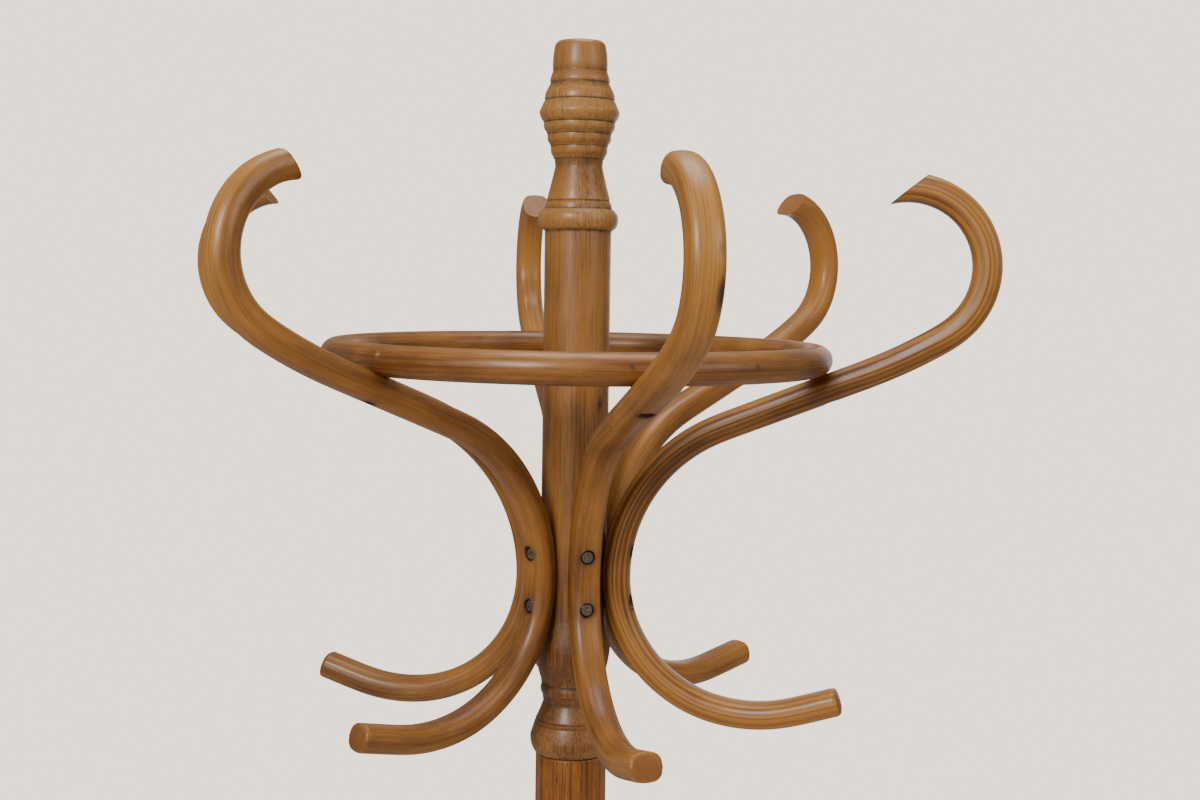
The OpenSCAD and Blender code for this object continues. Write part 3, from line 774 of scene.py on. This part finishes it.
def varnished_wood(name, light, dark, crevice, pitch=2.6, streak=1.0, pore=0.5, gloss=0.46):
    """Beech, bent or turned, under an aged satin varnish.

    Gives the eye fine long fibres, growth layers pitch millimetres apart that follow the stick,
    short dark pores, uneven stain, dark stain round screws, painted shade in grooves, on each
    counterbore's wall and where parts meet, pale rubbed places that are partly painted highlight,
    and a soft sheen.
    Fibres are about 1 mm wide and pores 0.7 by 9 mm, coarser than real ones so that they show.
    """
    material, node = new_material(name)
    grain = node("Attribute", {"attribute_name": "grain"}, out="Vector")
    value = {
        key: node("Attribute", {"attribute_name": key}, out="Fac")
        for key in ("stain", "deep", "bold", "tone", "crevice", "dark", "worn", "end")
    }
    noises = {
        # repeats in a metre across the stick, twice, and along it; detail; roughness
        "slow": ((18, 18, 5.5), 2.0, 0.6),
        "fine": ((950, 950, 15), 4.0, 0.75),
        "short": ((1500, 1500, 110), 1.5, 0.6),
        "patches": ((34, 34, 11), 4.0, 0.6),
        "round_screws": ((160, 160, 60), 2.0, 0.6),
        "in_grooves": ((140, 140, 90), 3.0, 0.6),
        "on_varnish": ((70, 70, 25), 3.0, 0.6),
        "ripple": ((260, 260, 120), 2.0, 0.6),
    }
    for key, (scale, detail, rough) in noises.items():
        place = node("VectorMath", {"operation": "MULTIPLY"}, {0: grain, 1: scale}, 0)
        ins = {"Vector": place, "Scale": 1.0, "Detail": detail, "Roughness": rough}
        value[key] = node("TexNoise", ins=ins, out="Fac")

    # growth layers: distance from the pith, shaken by a slow noise, in units of the pitch
    flat = node("VectorMath", {"operation": "MULTIPLY"}, {0: grain, 1: (1.0, 1.0, 0.0)}, 0)
    radius = node("VectorMath", {"operation": "LENGTH"}, {0: flat}, "Value")
    shake = {"Value": value["slow"], "To Min": -4.5 * MM, "To Max": 4.5 * MM}
    shake = node("MapRange", ins=shake, out=0)
    shaken = node("Math", {"operation": "ADD"}, {0: radius, 1: shake}, 0)
    layer = node("Math", {"operation": "DIVIDE"}, {0: shaken, 1: pitch * MM}, 0)
    lines = {"W": layer, "Scale": 1.0, "Detail": 2.5}
    value["lines"] = node("TexNoise", {"noise_dimensions": "1D"}, lines, "Fac")

    ranges = {
        # what is read, its low and high end, and what these become
        "layers": ("lines", 0.36, 0.66, 0.0, 1.0),
        "fibres": ("fine", 0.38, 0.64, 0.0, 1.0),
        "pores": ("short", 0.6, 0.7, 0.0, 1.0),
        "clouds": ("patches", 0.32, 0.68, -0.35, 0.4),
        "rubbed_patches": ("patches", 0.3, 0.62, 0.35, 1.0),
        "rubbed_fibres": ("fibres", 0.1, 1.0, 1.0, 0.15),
        "round_screws": ("round_screws", 0.35, 0.65, 0.25, 0.95),
        "in_grooves": ("in_grooves", 0.35, 0.62, 0.35, 1.0),
        "gloss": ("on_varnish", 0.3, 0.7, gloss - 0.07, gloss + 0.12),
    }
    for key, (source, *limits) in ranges.items():
        ins = dict(zip(("From Min", "From Max", "To Min", "To Max"), limits))
        value[key] = node("MapRange", ins=ins | {"Value": value[source]}, out=0)

    sums = [
        # stained wood: layers as bold as the piece has them, fibres, its own tone and painted shade,
        # clouds of stain
        ("bold", "MULTIPLY", "bold", 0.8),
        ("bold", "ADD", "bold", 0.12),
        ("layers", "MULTIPLY", "layers", "bold"),
        ("streaks", "MULTIPLY", "fibres", 0.6 * streak),
        ("streaks", "ADD", "layers", "streaks"),
        ("tone", "ADD", "streaks", "tone"),
        ("tone", "ADD", "tone", "clouds"),
        ("pores_seen", "MULTIPLY", "pores", pore),
        # end grain, and pale rubbed places, on the hooks partly painted highlight
        ("sawn", "MULTIPLY", "end", 0.6),
        ("bare", "MULTIPLY", "rubbed_patches", "rubbed_fibres"),
        ("bare", "MULTIPLY", "worn", "bare"),
        # dark stain round screws; painted shade on each counterbore's wall, in grooves and where
        # parts meet; dark knots
        ("soil", "MULTIPLY", "stain", "round_screws"),
        # painted shade on each counterbore's wall
        ("walls", "MULTIPLY", "deep", 0.93),
        ("soil", "MAXIMUM", "soil", "walls"),
        ("grooves", "MULTIPLY", "crevice", "in_grooves"),
        ("grooves", "MAXIMUM", "grooves", "dark"),
        ("soil", "MAXIMUM", "soil", "grooves"),
        # both are less glossy than the rest
        ("matt", "MAXIMUM", "soil", "end"),
        ("matt", "MULTIPLY", "matt", 0.25),
        ("rough", "ADD", "gloss", "matt"),
        # relief under the varnish
        ("fibres_sunk", "MULTIPLY", "fibres", -0.5),
        ("pores_sunk", "MULTIPLY", "pores", -0.8),
        ("relief", "ADD", "fibres_sunk", "pores_sunk"),
        ("ripple", "MULTIPLY", "ripple", 0.8),
        ("relief", "ADD", "relief", "ripple"),
    ]
    for key, operation, *terms in sums:
        ins = {k: value[term] if isinstance(term, str) else term for k, term in enumerate(terms)}
        value[key] = node("Math", {"operation": operation}, ins, 0)

    wood = light
    blend = {"data_type": "RGBA", "blend_type": "MIX", "clamp_factor": True}
    for key, coat in (
        ("tone", dark), ("pores_seen", dark_of(dark, 0.5)), ("sawn", dark_of(dark, 1.25)),
        # then the stain round screws and the painted shade, both in one dark colour
        ("bare", pale_of(light)), ("soil", crevice),
    ):
        wood = node("Mix", blend, {0: value[key], 6: wood, 7: coat}, 2)
    bump = {"Height": value["relief"], "Strength": 0.28, "Distance": 0.12 * MM}
    shade(
        node, Base_Color=wood, Roughness=value["rough"], Normal=node("Bump", ins=bump, out=0),
        IOR=1.5, Specular_IOR_Level=0.45, Coat_Weight=0.25, Coat_Roughness=0.24,
    )
    return material


def dark_of(tone, share):
    """A darker, redder neighbour of a colour."""
    return (tone[0] * share, tone[1] * share * 0.88, tone[2] * share * 0.8, 1.0)


def pale_of(tone):
    """A paler, straw-coloured neighbour of a colour, as worn varnish has."""
    return (tone[0] * 1.3 + 0.05, tone[1] * 1.5 + 0.05, tone[2] * 1.3 + 0.04, 1.0)


def metal(name, tone, roughness, spots, spot_tone, spot_metallic=0.2):
    """Steel or brass with a dull film: small spots of rust or tarnish, duller than the metal."""
    material, node = new_material(name)
    place = node("TexCoord", out="Object")
    film = node("TexNoise", ins={"Vector": place, "Scale": 420.0, "Detail": 4.0}, out="Fac")
    limits = {"Value": film, "From Min": 0.62 - spots, "From Max": 0.8 - spots}
    share = node("MapRange", ins=limits, out=0)
    sheen = {"Value": share, "To Min": roughness, "To Max": roughness + 0.35}
    bare = {"Value": share, "To Min": 1.0, "To Max": spot_metallic}
    bump = {"Height": film, "Strength": 0.3, "Distance": 0.08 * MM}
    shade(
        node, Base_Color=node("Mix", {"data_type": "RGBA"}, {0: share, 6: tone, 7: spot_tone}, 2),
        Roughness=node("MapRange", ins=sheen, out=0), Metallic=node("MapRange", ins=bare, out=0),
        Normal=node("Bump", ins=bump, out=0),
    )
    return material


def moulded_plastic(name, tone):
    """Moulded nylon of the foot glides: a fine spark-eroded grain and scuffs underneath."""
    material, node = new_material(name)
    place = node("TexCoord", out="Object")
    grit = node("TexNoise", ins={"Vector": place, "Scale": 1800.0, "Detail": 2.0}, out="Fac")
    scuff = node("TexNoise", ins={"Vector": place, "Scale": 160.0, "Detail": 5.0}, out="Fac")
    tones = {0: scuff, 6: dark_of(tone, 0.7), 7: pale_of(tone)}
    worn = {"Value": scuff, "To Min": 0.4, "To Max": 0.7}
    bump = {"Height": grit, "Strength": 0.4, "Distance": 0.05 * MM}
    shade(
        node, Base_Color=node("Mix", {"data_type": "RGBA"}, tones, 2),
        Roughness=node("MapRange", ins=worn, out=0), Normal=node("Bump", ins=bump, out=0),
    )
    return material


# ---------------------------------------------------------------- operators


def settings():
    """The coat rack's settings."""
    return bpy.context.scene.coat_rack


def wood_of(kind):
    """The wood of a kind of piece, made once."""
    name = {"bent": "bent_beech_satin_varnish", "turned": "turned_beech_satin_varnish",
            "column": "stained_beech_satin_varnish"}[kind]
    if name in bpy.data.materials:
        return bpy.data.materials[name]
    tones = settings().colours
    light, dark = tuple(getattr(tones, kind + "_light")), tuple(getattr(tones, kind + "_dark"))
    looks = {
        "bent": {"pitch": 2.6, "streak": 0.55, "pore": 0.25},
        "turned": {"pitch": 3.2, "streak": 1.15, "pore": 0.35},
        "column": {"pitch": 2.6, "streak": 1.1, "pore": 0.85, "gloss": 0.42},
    }[kind]
    return varnished_wood(name, light, dark, tuple(tones.crevice), **looks)


def paint_turned(mesh, pith, seed, **layers):
    """Stores the grain of a turned piece, its place counted from a pith off its axis, and more."""
    points = get_points(mesh)
    store(mesh, grain=points + [pith[0], pith[1], 1.9 * seed], **layers)
    return points


def spots(points, marks):
    """How dark or worn each point is from (x, y, z, half width, half height, strength) marks.

    A mark is strength exp(-(d / w)^4), d being the distance with its height scaled to its width.
    """
    value = np.zeros(len(points))
    for x, y, z, wide, high, strength in marks:
        away = (points - [x, y, z]) / [wide, wide, high]
        value = np.maximum(value, strength * np.exp(-((away**2).sum(axis=1) ** 2)))
    return value


class COATRACK_OT_turned(bpy.types.Operator):
    """Turns the head post, the column, the base post and its knob"""

    bl_idname = "coatrack.turned"
    bl_label = "Turned posts"

    def execute(self, context):
        wood, dark = wood_of("turned"), wood_of("column")
        length_up = (TOP_Z - HEAD_Z) / MM
        finial = [(h + length_up - FINIAL_L, r, s) for h, r, s in FINIAL_CUTS]
        head = lathe("head_post_turned", profile(FOOT_CUTS + finial), HEAD_Z)
        points = paint_turned(head, (0.018, 0.034), 1)
        knot = (0.0172, -0.0162, PART_Z + 0.2535, 2.6 * MM, 5.5 * MM, 0.95)
        radius = np.hypot(points[:, 0], points[:, 1])
        # the finial is paler where it is handled; the post below is darker, painted shade under the
        # arms
        up = np.clip((points[:, 2] - PART_Z) / (TOP_Z - PART_Z), 0, 1)
        crest = np.clip((radius - 17.5 * MM) / (9 * MM), 0.15, 1) * np.clip((up - 0.7) / 0.06, 0, 1)
        tone = 0.26 - 0.44 * np.clip((up - 0.2) / 0.5, 0, 1)
        store(head, dark=spots(points, [knot]), worn=0.75 * crest, tone=tone)
        show("head_post_turned", head, wood, "head", ["head_post"], sharp=42)

        low, high = (corner[2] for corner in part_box("column"))
        size = (high - low) / MM
        cuts = [(0, 25.2, 0), (0.5, 25.5, 0), (size - 1.2, 25.5, 0.35), (size, 24.3, 0)]
        column = lathe("column_turned", profile(cuts, soft=0.2), low)
        paint_turned(column, (-0.012, 0.024), 2, bold=0.35, tone=-0.1)
        # the column's darker wood is painted shade under the arms
        show("column_turned", column, dark, "stand", ["column"])

        low, high = (corner[2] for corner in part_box("base_post"))
        size = (high - low) / MM
        cuts = [
            (0, 27.4, 0), (0.4, 28.0, 0.55), (11, 30.0, 0.55), (21.4, 27.0, 0), (22, 25.2, 0),
            (22.6, 25.5, 0), (size - 22.6, 25.5, 0), (size - 22, 25.2, 0), (size - 21.4, 27.0, 0.55),
            (size - 11, 30.0, 0.55), (size - 0.4, 28.0, 0), (size, 27.4, 0),
        ]
        base = lathe("base_post_turned", profile(cuts), low)
        paint_turned(base, (0.02, -0.03), 3, bold=0.4)
        show("base_post_turned", base, wood, "stand", ["base_post"])

        below = (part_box("base_post")[0][2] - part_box("base_knob")[0][2]) / MM
        cuts = [
            (0, 4, 0.2), (0.6, 7.5, 5.2), (20, 23.7, 0.2), (24, 24.0, 0.25), (28, 23.7, 4.6),
            (below - 8.6, 14.6, 0), (below - 8, 13.2, 0), (below - 7.4, 13.2, -1.2), (below, 15.5, 0),
        ]
        knob = lathe("base_knob_turned", profile(cuts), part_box("base_knob")[0][2])
        paint_turned(knob, (0.025, 0.03), 4)
        show("base_knob_turned", knob, wood, "stand", ["base_knob"])
        return {"FINISHED"}


class COATRACK_OT_arms(bpy.types.Operator):
    """Bends the six arms"""

    bl_idname = "coatrack.arms"
    bl_label = "Bent arms"

    def execute(self, context):
        for i, name in enumerate(ARMS):
            sizes = arm_sizes(settings().arms, ARM_HAND[i])
            line = arm_line(sizes)
            half_t, half_w = sizes.thickness / 2, sizes.width / 2
            # sections close together round the sawn end, then evenly to just past the bevelled tip
            spacing, past_tip = 2.4 * MM, 4 * MM
            s = np.concatenate([
                np.linspace(line.low, line.low + sizes.end_round, 7)[:-1],
                np.arange(line.low + sizes.end_round, line.high + past_tip, spacing),
            ])
            turn = radians(ARM_TURNS[i])
            slim = 1 - 0.012 * (0.5 + 0.5 * wave(s, (0.6, 0.31, i * 1.7), (0.4, 0.13, i * 2.3)))
            # the sawn end is rounded: round - sqrt(round^2 - (round - d)^2) is taken off at depth d
            d = np.clip(s - line.low, 0, sizes.end_round)
            worn = sizes.end_round
            off = worn - np.sqrt(np.maximum(worn**2 - (worn - d) ** 2, 0))
            thin = 1 - 0.05 * np.clip(-s / 0.08, 0, 1)
            points = bent_points(
                line, s, half_t * slim * thin - off, half_w * slim - off, sizes.rounding - 0.8 * off,
                sizes.crown,
            )
            seats = arm_seats(turn, sizes)
            mesh = make_mesh(name, turned(points, turn))
            bevel = self.bevel(line, sizes)
            # a short wide cylinder that stands on the bevel takes the wood beyond it away
            depth, reach = 20 * MM, 45 * MM
            place, normal = turned(bevel[0], turn), turned(bevel[1], turn)
            wedge = about(place, normal, [0.0, depth], [reach, reach], 12)
            mesh = cut(mesh, join("cutters", [counterbores(seats), wedge]))
            self.paint(mesh, line, bevel, i, turn, seats)
            show("bent_" + name, mesh, wood_of("bent"), "head", [name], sharp=40)
        return {"FINISHED"}

    @staticmethod
    def bevel(line, sizes):
        """Point and outward normal of the tip's bevel, from the outer face to the inner edge."""
        half_t = sizes.thickness / 2
        start = line.high - sizes.hook_radius * (sizes.hook_past + sizes.bevel_before)
        ends = line.place(np.array([half_t, -half_t]), np.zeros(2), np.array([start, line.high]))
        along = ends[1] - ends[0]
        normal = np.array([along[2], 0.0, -along[0]])
        return ends.mean(axis=0), normal / np.linalg.norm(normal)

    @staticmethod
    def paint(mesh, line, bevel, i, turn, seats):
        """Grain, stain, end grain, knots, painted shade and rubbed places, partly painted highlight,
        of an arm.
        """
        bold = [0.1, 0.8, 0.25, 0.15, 0.2, 0.08][i]
        pale = [-0.16, 0.2, -0.02, -0.2, -0.32, -0.34][i]
        tilt = [0.9, 0.15, 0.5, 1.2, 0.4, 1.1][i]
        points, stick = paint_bent(mesh, line, turn, seats, i + 1, bold, tilt)
        x, y, s = stick.T
        # sawn ends: the lower one square, the upper one on the bevel
        on_bevel = np.abs((turned_in(points, turn) - bevel[0]) @ bevel[1]) < 0.05 * MM
        end = np.maximum(np.clip((line.low + 1.2 * MM - s) / (1.0 * MM), 0, 1), 1.0 * on_bevel)
        # painted shade: darker near the post and the ring, where the arms crowd together and shade
        # each other
        tone = 0.26 * np.exp(-(((np.abs(s) - 0.06) / 0.15) ** 2)) - 0.18 - pale
        tone = tone + (i == 1) * np.clip(s / 0.3, -0.35, 0.25)
        # knots, and rubbed places that are partly painted highlight: x, y, s, half width, half
        # height, all in millimetres, strength
        knots = {
            0: [(8.6, 8.0, 345, 3.2, 9.0, 0.95), (9.5, 6.5, 366, 2, 3, 0.4)],
            1: [(10.0, -6.0, 300, 0.8, 3.0, 0.5)],
            5: [(10.0, 4.0, 210, 0.9, 3.0, 0.5)],
        }
        rubbed = {
            0: [(9.4, 3.0, 405, 2.5, 9.0, 0.5)],
            4: [(8.6, 6.5, 330, 2.6, 9.0, 0.8)],
            5: [(8.6, 6.5, 370, 2.6, 17.0, 1.0)],
        }
        dark, bare = (
            spots(stick, [(*np.array(mark[:5]) * MM, mark[5]) for mark in marks.get(i, [])])
            for marks in (knots, rubbed)
        )
        # pale outer face of each hook: partly worn varnish, partly painted highlight where the light
        # from above falls
        crest = np.clip((x - 6.5 * MM) / (3 * MM), 0, 1) * np.clip((s - 0.3) / 0.06, 0, 1)
        # painted shade where the arm lies against the post and where it meets the hat ring
        shade_at_post = np.clip((30 * MM - np.hypot(points[:, 0], points[:, 1])) / (5 * MM), 0, 1)
        around = points - direction(turn, RING_R, RING_Z)
        to_ring = np.hypot(around @ direction(turn, 1, 0), around[:, 2]) - RING_TUBE
        shade_at_ring = 0.7 * np.exp(-np.maximum(to_ring, 0) / (2.2 * MM))
        store(
            mesh, end=end, tone=tone, dark=dark, worn=np.maximum(0.5 * crest, bare) * (1 - on_bevel),
            crevice=np.maximum(0.9 * shade_at_post, shade_at_ring),
        )


class COATRACK_OT_rings(bpy.types.Operator):
    """Bends the hat ring and the umbrella ring"""

    bl_idname = "coatrack.rings"
    bl_label = "Rings"

    def execute(self, context):
        hidden = radians(ARM_TURNS[3])
        self.ring("hat_ring", "head", RING_R, RING_TUBE, RING_Z, hidden, 9, 1.2 * MM)
        self.ring("umbrella_ring", "stand", KEEPER_R, KEEPER_TUBE, KEEPER_Z, pi, 11, 0.0)
        return {"FINISHED"}

    @staticmethod
    def ring(node, body, around, tube, height, start, seed, sag):
        """A round stick bent to a ring: tube cos b outwards, tube sin b up, carried round the axis.

        The tube is slimmer by up to a hundredth in slow waves. The ends of the stick meet at start.
        sag is how far the ring has settled and moved out at its lowest, which is on the +X side.
        """
        a = np.linspace(0, 2 * pi, 400, endpoint=False)[:, None]
        b = np.linspace(0, 2 * pi, 36, endpoint=False)[None, :]
        slim = 1 - 0.005 * (1 + 0.6 * np.sin(5 * a + 1) + 0.4 * np.sin(13 * a + 2 * b))
        x, y = tube * slim * np.cos(b), tube * slim * np.sin(b)
        turn = a + start
        reach = around + x + sag * (0.5 + 0.5 * np.sin(turn))
        settled = height - sag * (0.6 + 0.4 * np.sin(turn)) + y
        grid = np.stack([reach * np.sin(turn), -reach * np.cos(turn), settled], axis=-1)
        mesh = make_mesh(node + "_bent", grid, closed_rows=True)
        along = np.broadcast_to(a * around + 2.7 * seed, x.shape)
        store(mesh, grain=np.stack([x + 0.03, y + 0.05, along], axis=-1), bold=0.12, tone=0.34)
        if node == "hat_ring":
            knots = []
            for turn_k, up, wide in ((radians(10.8), 1.0, 2.2), (radians(38.5), 0.5, 2.0)):
                place = direction(turn_k, around + tube * 0.95, height + up * MM)
                knots.append((*place, wide * MM, wide * 0.9 * MM, 0.9))
            rub = direction(radians(-44), around + tube * 0.8, height + 4 * MM)
            points = get_points(mesh)
            bare = spots(points, [(*rub, 2 * MM, 2 * MM, 1.0)])
            store(mesh, dark=spots(points, knots), worn=bare)
        show(node + "_bent", mesh, wood_of("bent"), body, [node])


class COATRACK_OT_legs(bpy.types.Operator):
    """Bends the four legs"""

    bl_idname = "coatrack.legs"
    bl_label = "Bent legs"

    def execute(self, context):
        sizes = settings().legs
        line = leg_line(sizes)
        worn = 2.4 * MM
        inner = np.arange(line.low + worn, line.high - worn, 4.0 * MM)
        s = np.concatenate([
            np.linspace(line.low, line.low + worn, 6)[:-1], inner,
            np.linspace(line.high - worn, line.high, 6),
        ])
        for i, name in enumerate(LEGS):
            turn = i * pi / 2
            slim = 1 - 0.012 * (0.5 + 0.5 * wave(s, (0.6, 0.37, i * 1.3), (0.4, 0.17, i * 2.1)))
            d = np.clip(np.minimum(s - line.low, line.high - s), 0, worn)
            off = worn - np.sqrt(np.maximum(worn**2 - (worn - d) ** 2, 0))
            points = bent_points(
                line, s, sizes.thickness / 2 * slim - off, sizes.width / 2 * slim - off,
                sizes.rounding - 0.8 * off, 0.35 * MM,
            )
            seats = leg_seats(turn, sizes, line)
            mesh = cut(make_mesh(name, turned(points, turn)), counterbores(seats))
            _, stick = paint_bent(mesh, line, turn, seats, i + 20, 0.25, 0.3 + 0.3 * i)
            ends = np.minimum(stick[:, 2] - line.low, line.high - stick[:, 2])
            store(mesh, end=np.clip(1.2 - ends / MM, 0, 1))
            show("bent_" + name, mesh, wood_of("bent"), "stand", [name], sharp=40)
        return {"FINISHED"}


def wood_screw(seat, axis, size, twist):
    """A wood screw with a cross recess: its head stands 2.6 mm proud of the seat.

    Its outline runs from the point up the shank and round the head. The recess sinks the top by a
    depth that falls with smoothed steps across and along each of its two slots. Sizes inside are in
    millimetres.
    """
    head, soft_edge = 4.2, 0.55
    rim = np.linspace(0, pi / 2, 5)
    radii = [0.3, 0.5, 2.0, 2.0, 3.0, 3.9, head]
    heights = [-size / MM, -size / MM + 0.8, -size / MM + 4, -0.6, 0.0, 0.7, 1.3]
    radii += list(head - soft_edge + soft_edge * np.cos(rim))
    heights += list(2.05 + 0.45 * np.sin(rim))
    inner = np.linspace(3.55, 0.05, 30)
    radii += list(inner)
    heights += list(2.5 + 0.1 * (1 - (inner / 3.6) ** 2))

    def step(value, limit, soft=0.14):
        return 1 / (1 + np.exp(np.clip((np.abs(value) - limit) / (soft / 4), -50, 50)))

    def sink(x, y, h):
        x, y = x / MM, y / MM
        u, v = x * cos(twist) + y * sin(twist), y * cos(twist) - x * sin(twist)
        slots = np.maximum(step(u, 0.6) * step(v, 2.6), step(v, 0.6) * step(u, 2.6))
        dish = 1.4 * slots * (1 - 0.3 * np.clip(np.hypot(x, y) / 2.6, 0, 1))
        return np.where(h > 1.5 * MM, dish, 0.0) * MM

    return about(seat, -axis, np.array(heights) * MM, np.array(radii) * MM, 72, sink)


class COATRACK_OT_fittings(bpy.types.Operator):
    """Makes the screws and glides, and finishes the hidden metal parts"""

    bl_idname = "coatrack.fittings"
    bl_label = "Screws, glides and swivel"

    def execute(self, context):
        arms, legs = settings().arms, settings().legs
        screw_tone = tuple(settings().colours.screw)
        # blackened steel, rubbed bright in places, with brown rust
        black = metal("blackened_steel", screw_tone, 0.3, 0.03, linear("#6A4426"))
        bright = metal("turned_steel", linear("#B4B2AE"), 0.25, -0.06, linear("#6E5A48"))
        brass = metal("drawn_brass", linear("#B08D4A"), 0.3, -0.02, linear("#6B5426"), 0.6)
        leg_path = leg_line(legs)
        # body, seats and length of the screws of each kind
        groups = {
            "arm_screws": ("head", [], 32.2 * MM),
            "ring_screws": ("head", [], 31.5 * MM),
            "leg_screws": ("stand", [], 38.1 * MM),
            "umbrella_ring_screws": ("stand", [], 33.0 * MM),
        }
        for degrees in ARM_TURNS:
            seats = arm_seats(radians(degrees), arms)
            groups["arm_screws"][1].extend(seats[:2])
            groups["ring_screws"][1].append(seats[2])
        for i in range(4):
            seats = leg_seats(i * pi / 2, legs, leg_path)
            groups["leg_screws"][1].extend(seats[:2])
            groups["umbrella_ring_screws"][1].append(seats[2])
        for node, (body, seats, size) in groups.items():
            twists = 0.4 + 1.13 * np.arange(len(seats))
            parts = [wood_screw(seat, axis, size, t) for (seat, axis), t in zip(seats, twists)]
            show("steel_" + node, join(node, parts), black, body, [node], sharp=38)
        self.glides()
        for name, finish in (
            ("swivel_bush", brass), ("swivel_washer", bright), ("swivel_spindle", bright),
            ("column_dowel", bright), ("glide_nails", bright),
        ):
            node = bpy.data.objects[frame["nodes"][name].name]
            for slot in node.material_slots:
                slot.material = finish
        return {"FINISHED"}

    @staticmethod
    def glides():
        """Glides: turned discs with a rounded foot and a small step where they meet the leg."""
        low, high = (corner[2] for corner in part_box("foot_glides"))
        size = (high - low) / MM
        rim = np.linspace(0, pi / 2, 6)
        radii = [5.0, 8.0] + list(8.4 + 1.6 * np.sin(rim)) + [10.0, 9.5, 9.5]
        heights = [0.0, 0.0] + list(1.6 - 1.6 * np.cos(rim)) + [size - 1.2, size - 1.0, size]
        gap = settings().legs.foot_gap
        heights, radii = np.array(heights) * MM, np.array(radii) * MM
        places = [direction(i * pi / 2, gap, low) for i in range(4)]
        mesh = join("glides", [about(place, (0, 0, 1), heights, radii) for place in places])
        nylon = moulded_plastic("moulded_nylon", linear("#3B2A1E"))
        show("nylon_foot_glides", mesh, nylon, "stand", ["foot_glides"])


class COATRACK_OT_stage(bpy.types.Operator):
    """Sets up the camera, the floor and the light"""

    bl_idname = "coatrack.stage"
    bl_label = "Camera, floor and light"

    def execute(self, context):
        stage = settings().stage
        scene = bpy.context.scene
        data = bpy.data.cameras.new("camera")
        data.sensor_width, data.lens = 36.0, stage.lens
        camera = bpy.data.objects.new("camera", data)
        scene.collection.objects.link(camera)
        level = cos(stage.pitch)
        forward = Vector((sin(stage.yaw) * level, cos(stage.yaw) * level, sin(stage.pitch)))
        right = Vector((cos(stage.yaw), -sin(stage.yaw), 0.0))
        up = right.cross(forward)
        side = cos(stage.roll) * right + sin(stage.roll) * up
        top = cos(stage.roll) * up - sin(stage.roll) * right
        turn = Matrix((side, top, -forward)).transposed()
        place = Matrix.Translation((0, -stage.distance, PART_Z + stage.height))
        camera.matrix_world = place @ turn.to_4x4()
        scene.camera = camera

        self.floor(tuple(stage.floor))
        world = bpy.data.worlds.new("pale_surroundings")
        world.use_nodes = True
        # the surroundings look bright but give only a dim, even light
        tree = world.node_tree
        back = tree.nodes["Background"]
        back.inputs["Color"].default_value = tuple(stage.backdrop)
        seen = add(tree, "LightPath", out="Is Camera Ray")
        bright = add(tree, "MapRange", ins={"Value": seen, "To Min": 0.4, "To Max": 2.75}, out=0)
        tree.links.new(bright, back.inputs["Strength"])
        scene.world = world
        # name, place, size, power
        lamps = [
            ("window_light", (-1.0, -2.1, 2.55), 0.9, 50.0),
            ("side_light", (1.9, -1.2, 2.4), 1.1, 13.0),
            ("back_light", (0.9, 2.4, 1.7), 1.8, 9.0),
            ("top_light", (0.1, 0.2, 3.4), 1.3, 24.0),
        ]
        for name, place, size, power in lamps:
            lamp = bpy.data.lights.new(name, "AREA")
            lamp.shape, lamp.size, lamp.energy = "DISK", size, power
            item = bpy.data.objects.new(name, lamp)
            item.location = place
            aim = Vector((0, 0, 1.55)) - Vector(place)
            item.rotation_euler = aim.to_track_quat("-Z", "Y").to_euler()
            scene.collection.objects.link(item)
        return {"FINISHED"}

    @staticmethod
    def floor(tone):
        """A round pale floor: rings of vertices at falling radii, flat, its pole in the middle."""
        rings, columns = 7, 96
        radii = np.linspace(2.6, 0.2, rings)[:, None]
        a = np.linspace(0, 2 * pi, columns, endpoint=False)
        flat = np.zeros((rings, columns))
        points = np.stack([radii * np.cos(a), radii * np.sin(a), flat], axis=-1)
        quads = grid_faces(rings, columns)
        vertices = np.vstack([points.reshape(-1, 3), [[0, 0, 0]]])
        last = np.arange(columns) + (rings - 1) * columns
        pole = np.full(columns, rings * columns)
        centre = np.stack([last, np.roll(last, -1), pole], axis=-1)
        mesh = bpy.data.meshes.new("floor")
        mesh.from_pydata(vertices.tolist(), [], quads.tolist() + centre.tolist())
        mesh.update()
        # matt painted floor, slightly mottled
        material, node = new_material("pale_painted_floor")
        place = node("TexCoord", out="Object")
        cloud = node("TexNoise", ins={"Vector": place, "Scale": 3.0, "Detail": 4.0}, out="Fac")
        tones = {0: cloud, 6: dark_of(tone, 0.97), 7: tone}
        shade(node, Base_Color=node("Mix", {"data_type": "RGBA"}, tones, 2), Roughness=0.8)
        mesh.materials.append(material)
        floor = bpy.data.objects.new("floor", mesh)
        bpy.context.scene.collection.objects.link(floor)


class COATRACK_PT_panel(bpy.types.Panel):
    """Buttons that make the coat rack, and its sizes and colours"""

    bl_idname = "COATRACK_PT_panel"
    bl_label = "Coat rack"
    bl_space_type = "VIEW_3D"
    bl_region_type = "UI"
    bl_category = "Coat rack"

    def draw(self, context):
        for operator in OPERATORS:
            self.layout.operator(operator.bl_idname)
        for group in (settings().arms, settings().legs, settings().colours, settings().stage):
            box = self.layout.box()
            for key in group.__annotations__:
                box.prop(group, key)


OPERATORS = [
    COATRACK_OT_stage, COATRACK_OT_turned, COATRACK_OT_arms, COATRACK_OT_rings, COATRACK_OT_legs,
    COATRACK_OT_fittings,
]
CLASSES = [ArmSizes, LegSizes, WoodColours, StageSettings, CoatRack, *OPERATORS, COATRACK_PT_panel]


def register():
    for item in CLASSES:
        bpy.utils.register_class(item)
    bpy.types.Scene.coat_rack = bpy.props.PointerProperty(type=CoatRack)


def unregister():
    del bpy.types.Scene.coat_rack
    for item in reversed(CLASSES):
        bpy.utils.unregister_class(item)


def main():
    register()
    for operator in OPERATORS:
        group, name = operator.bl_idname.split(".")
        getattr(getattr(bpy.ops, group), name)()


if __name__ == "__main__":
    main()
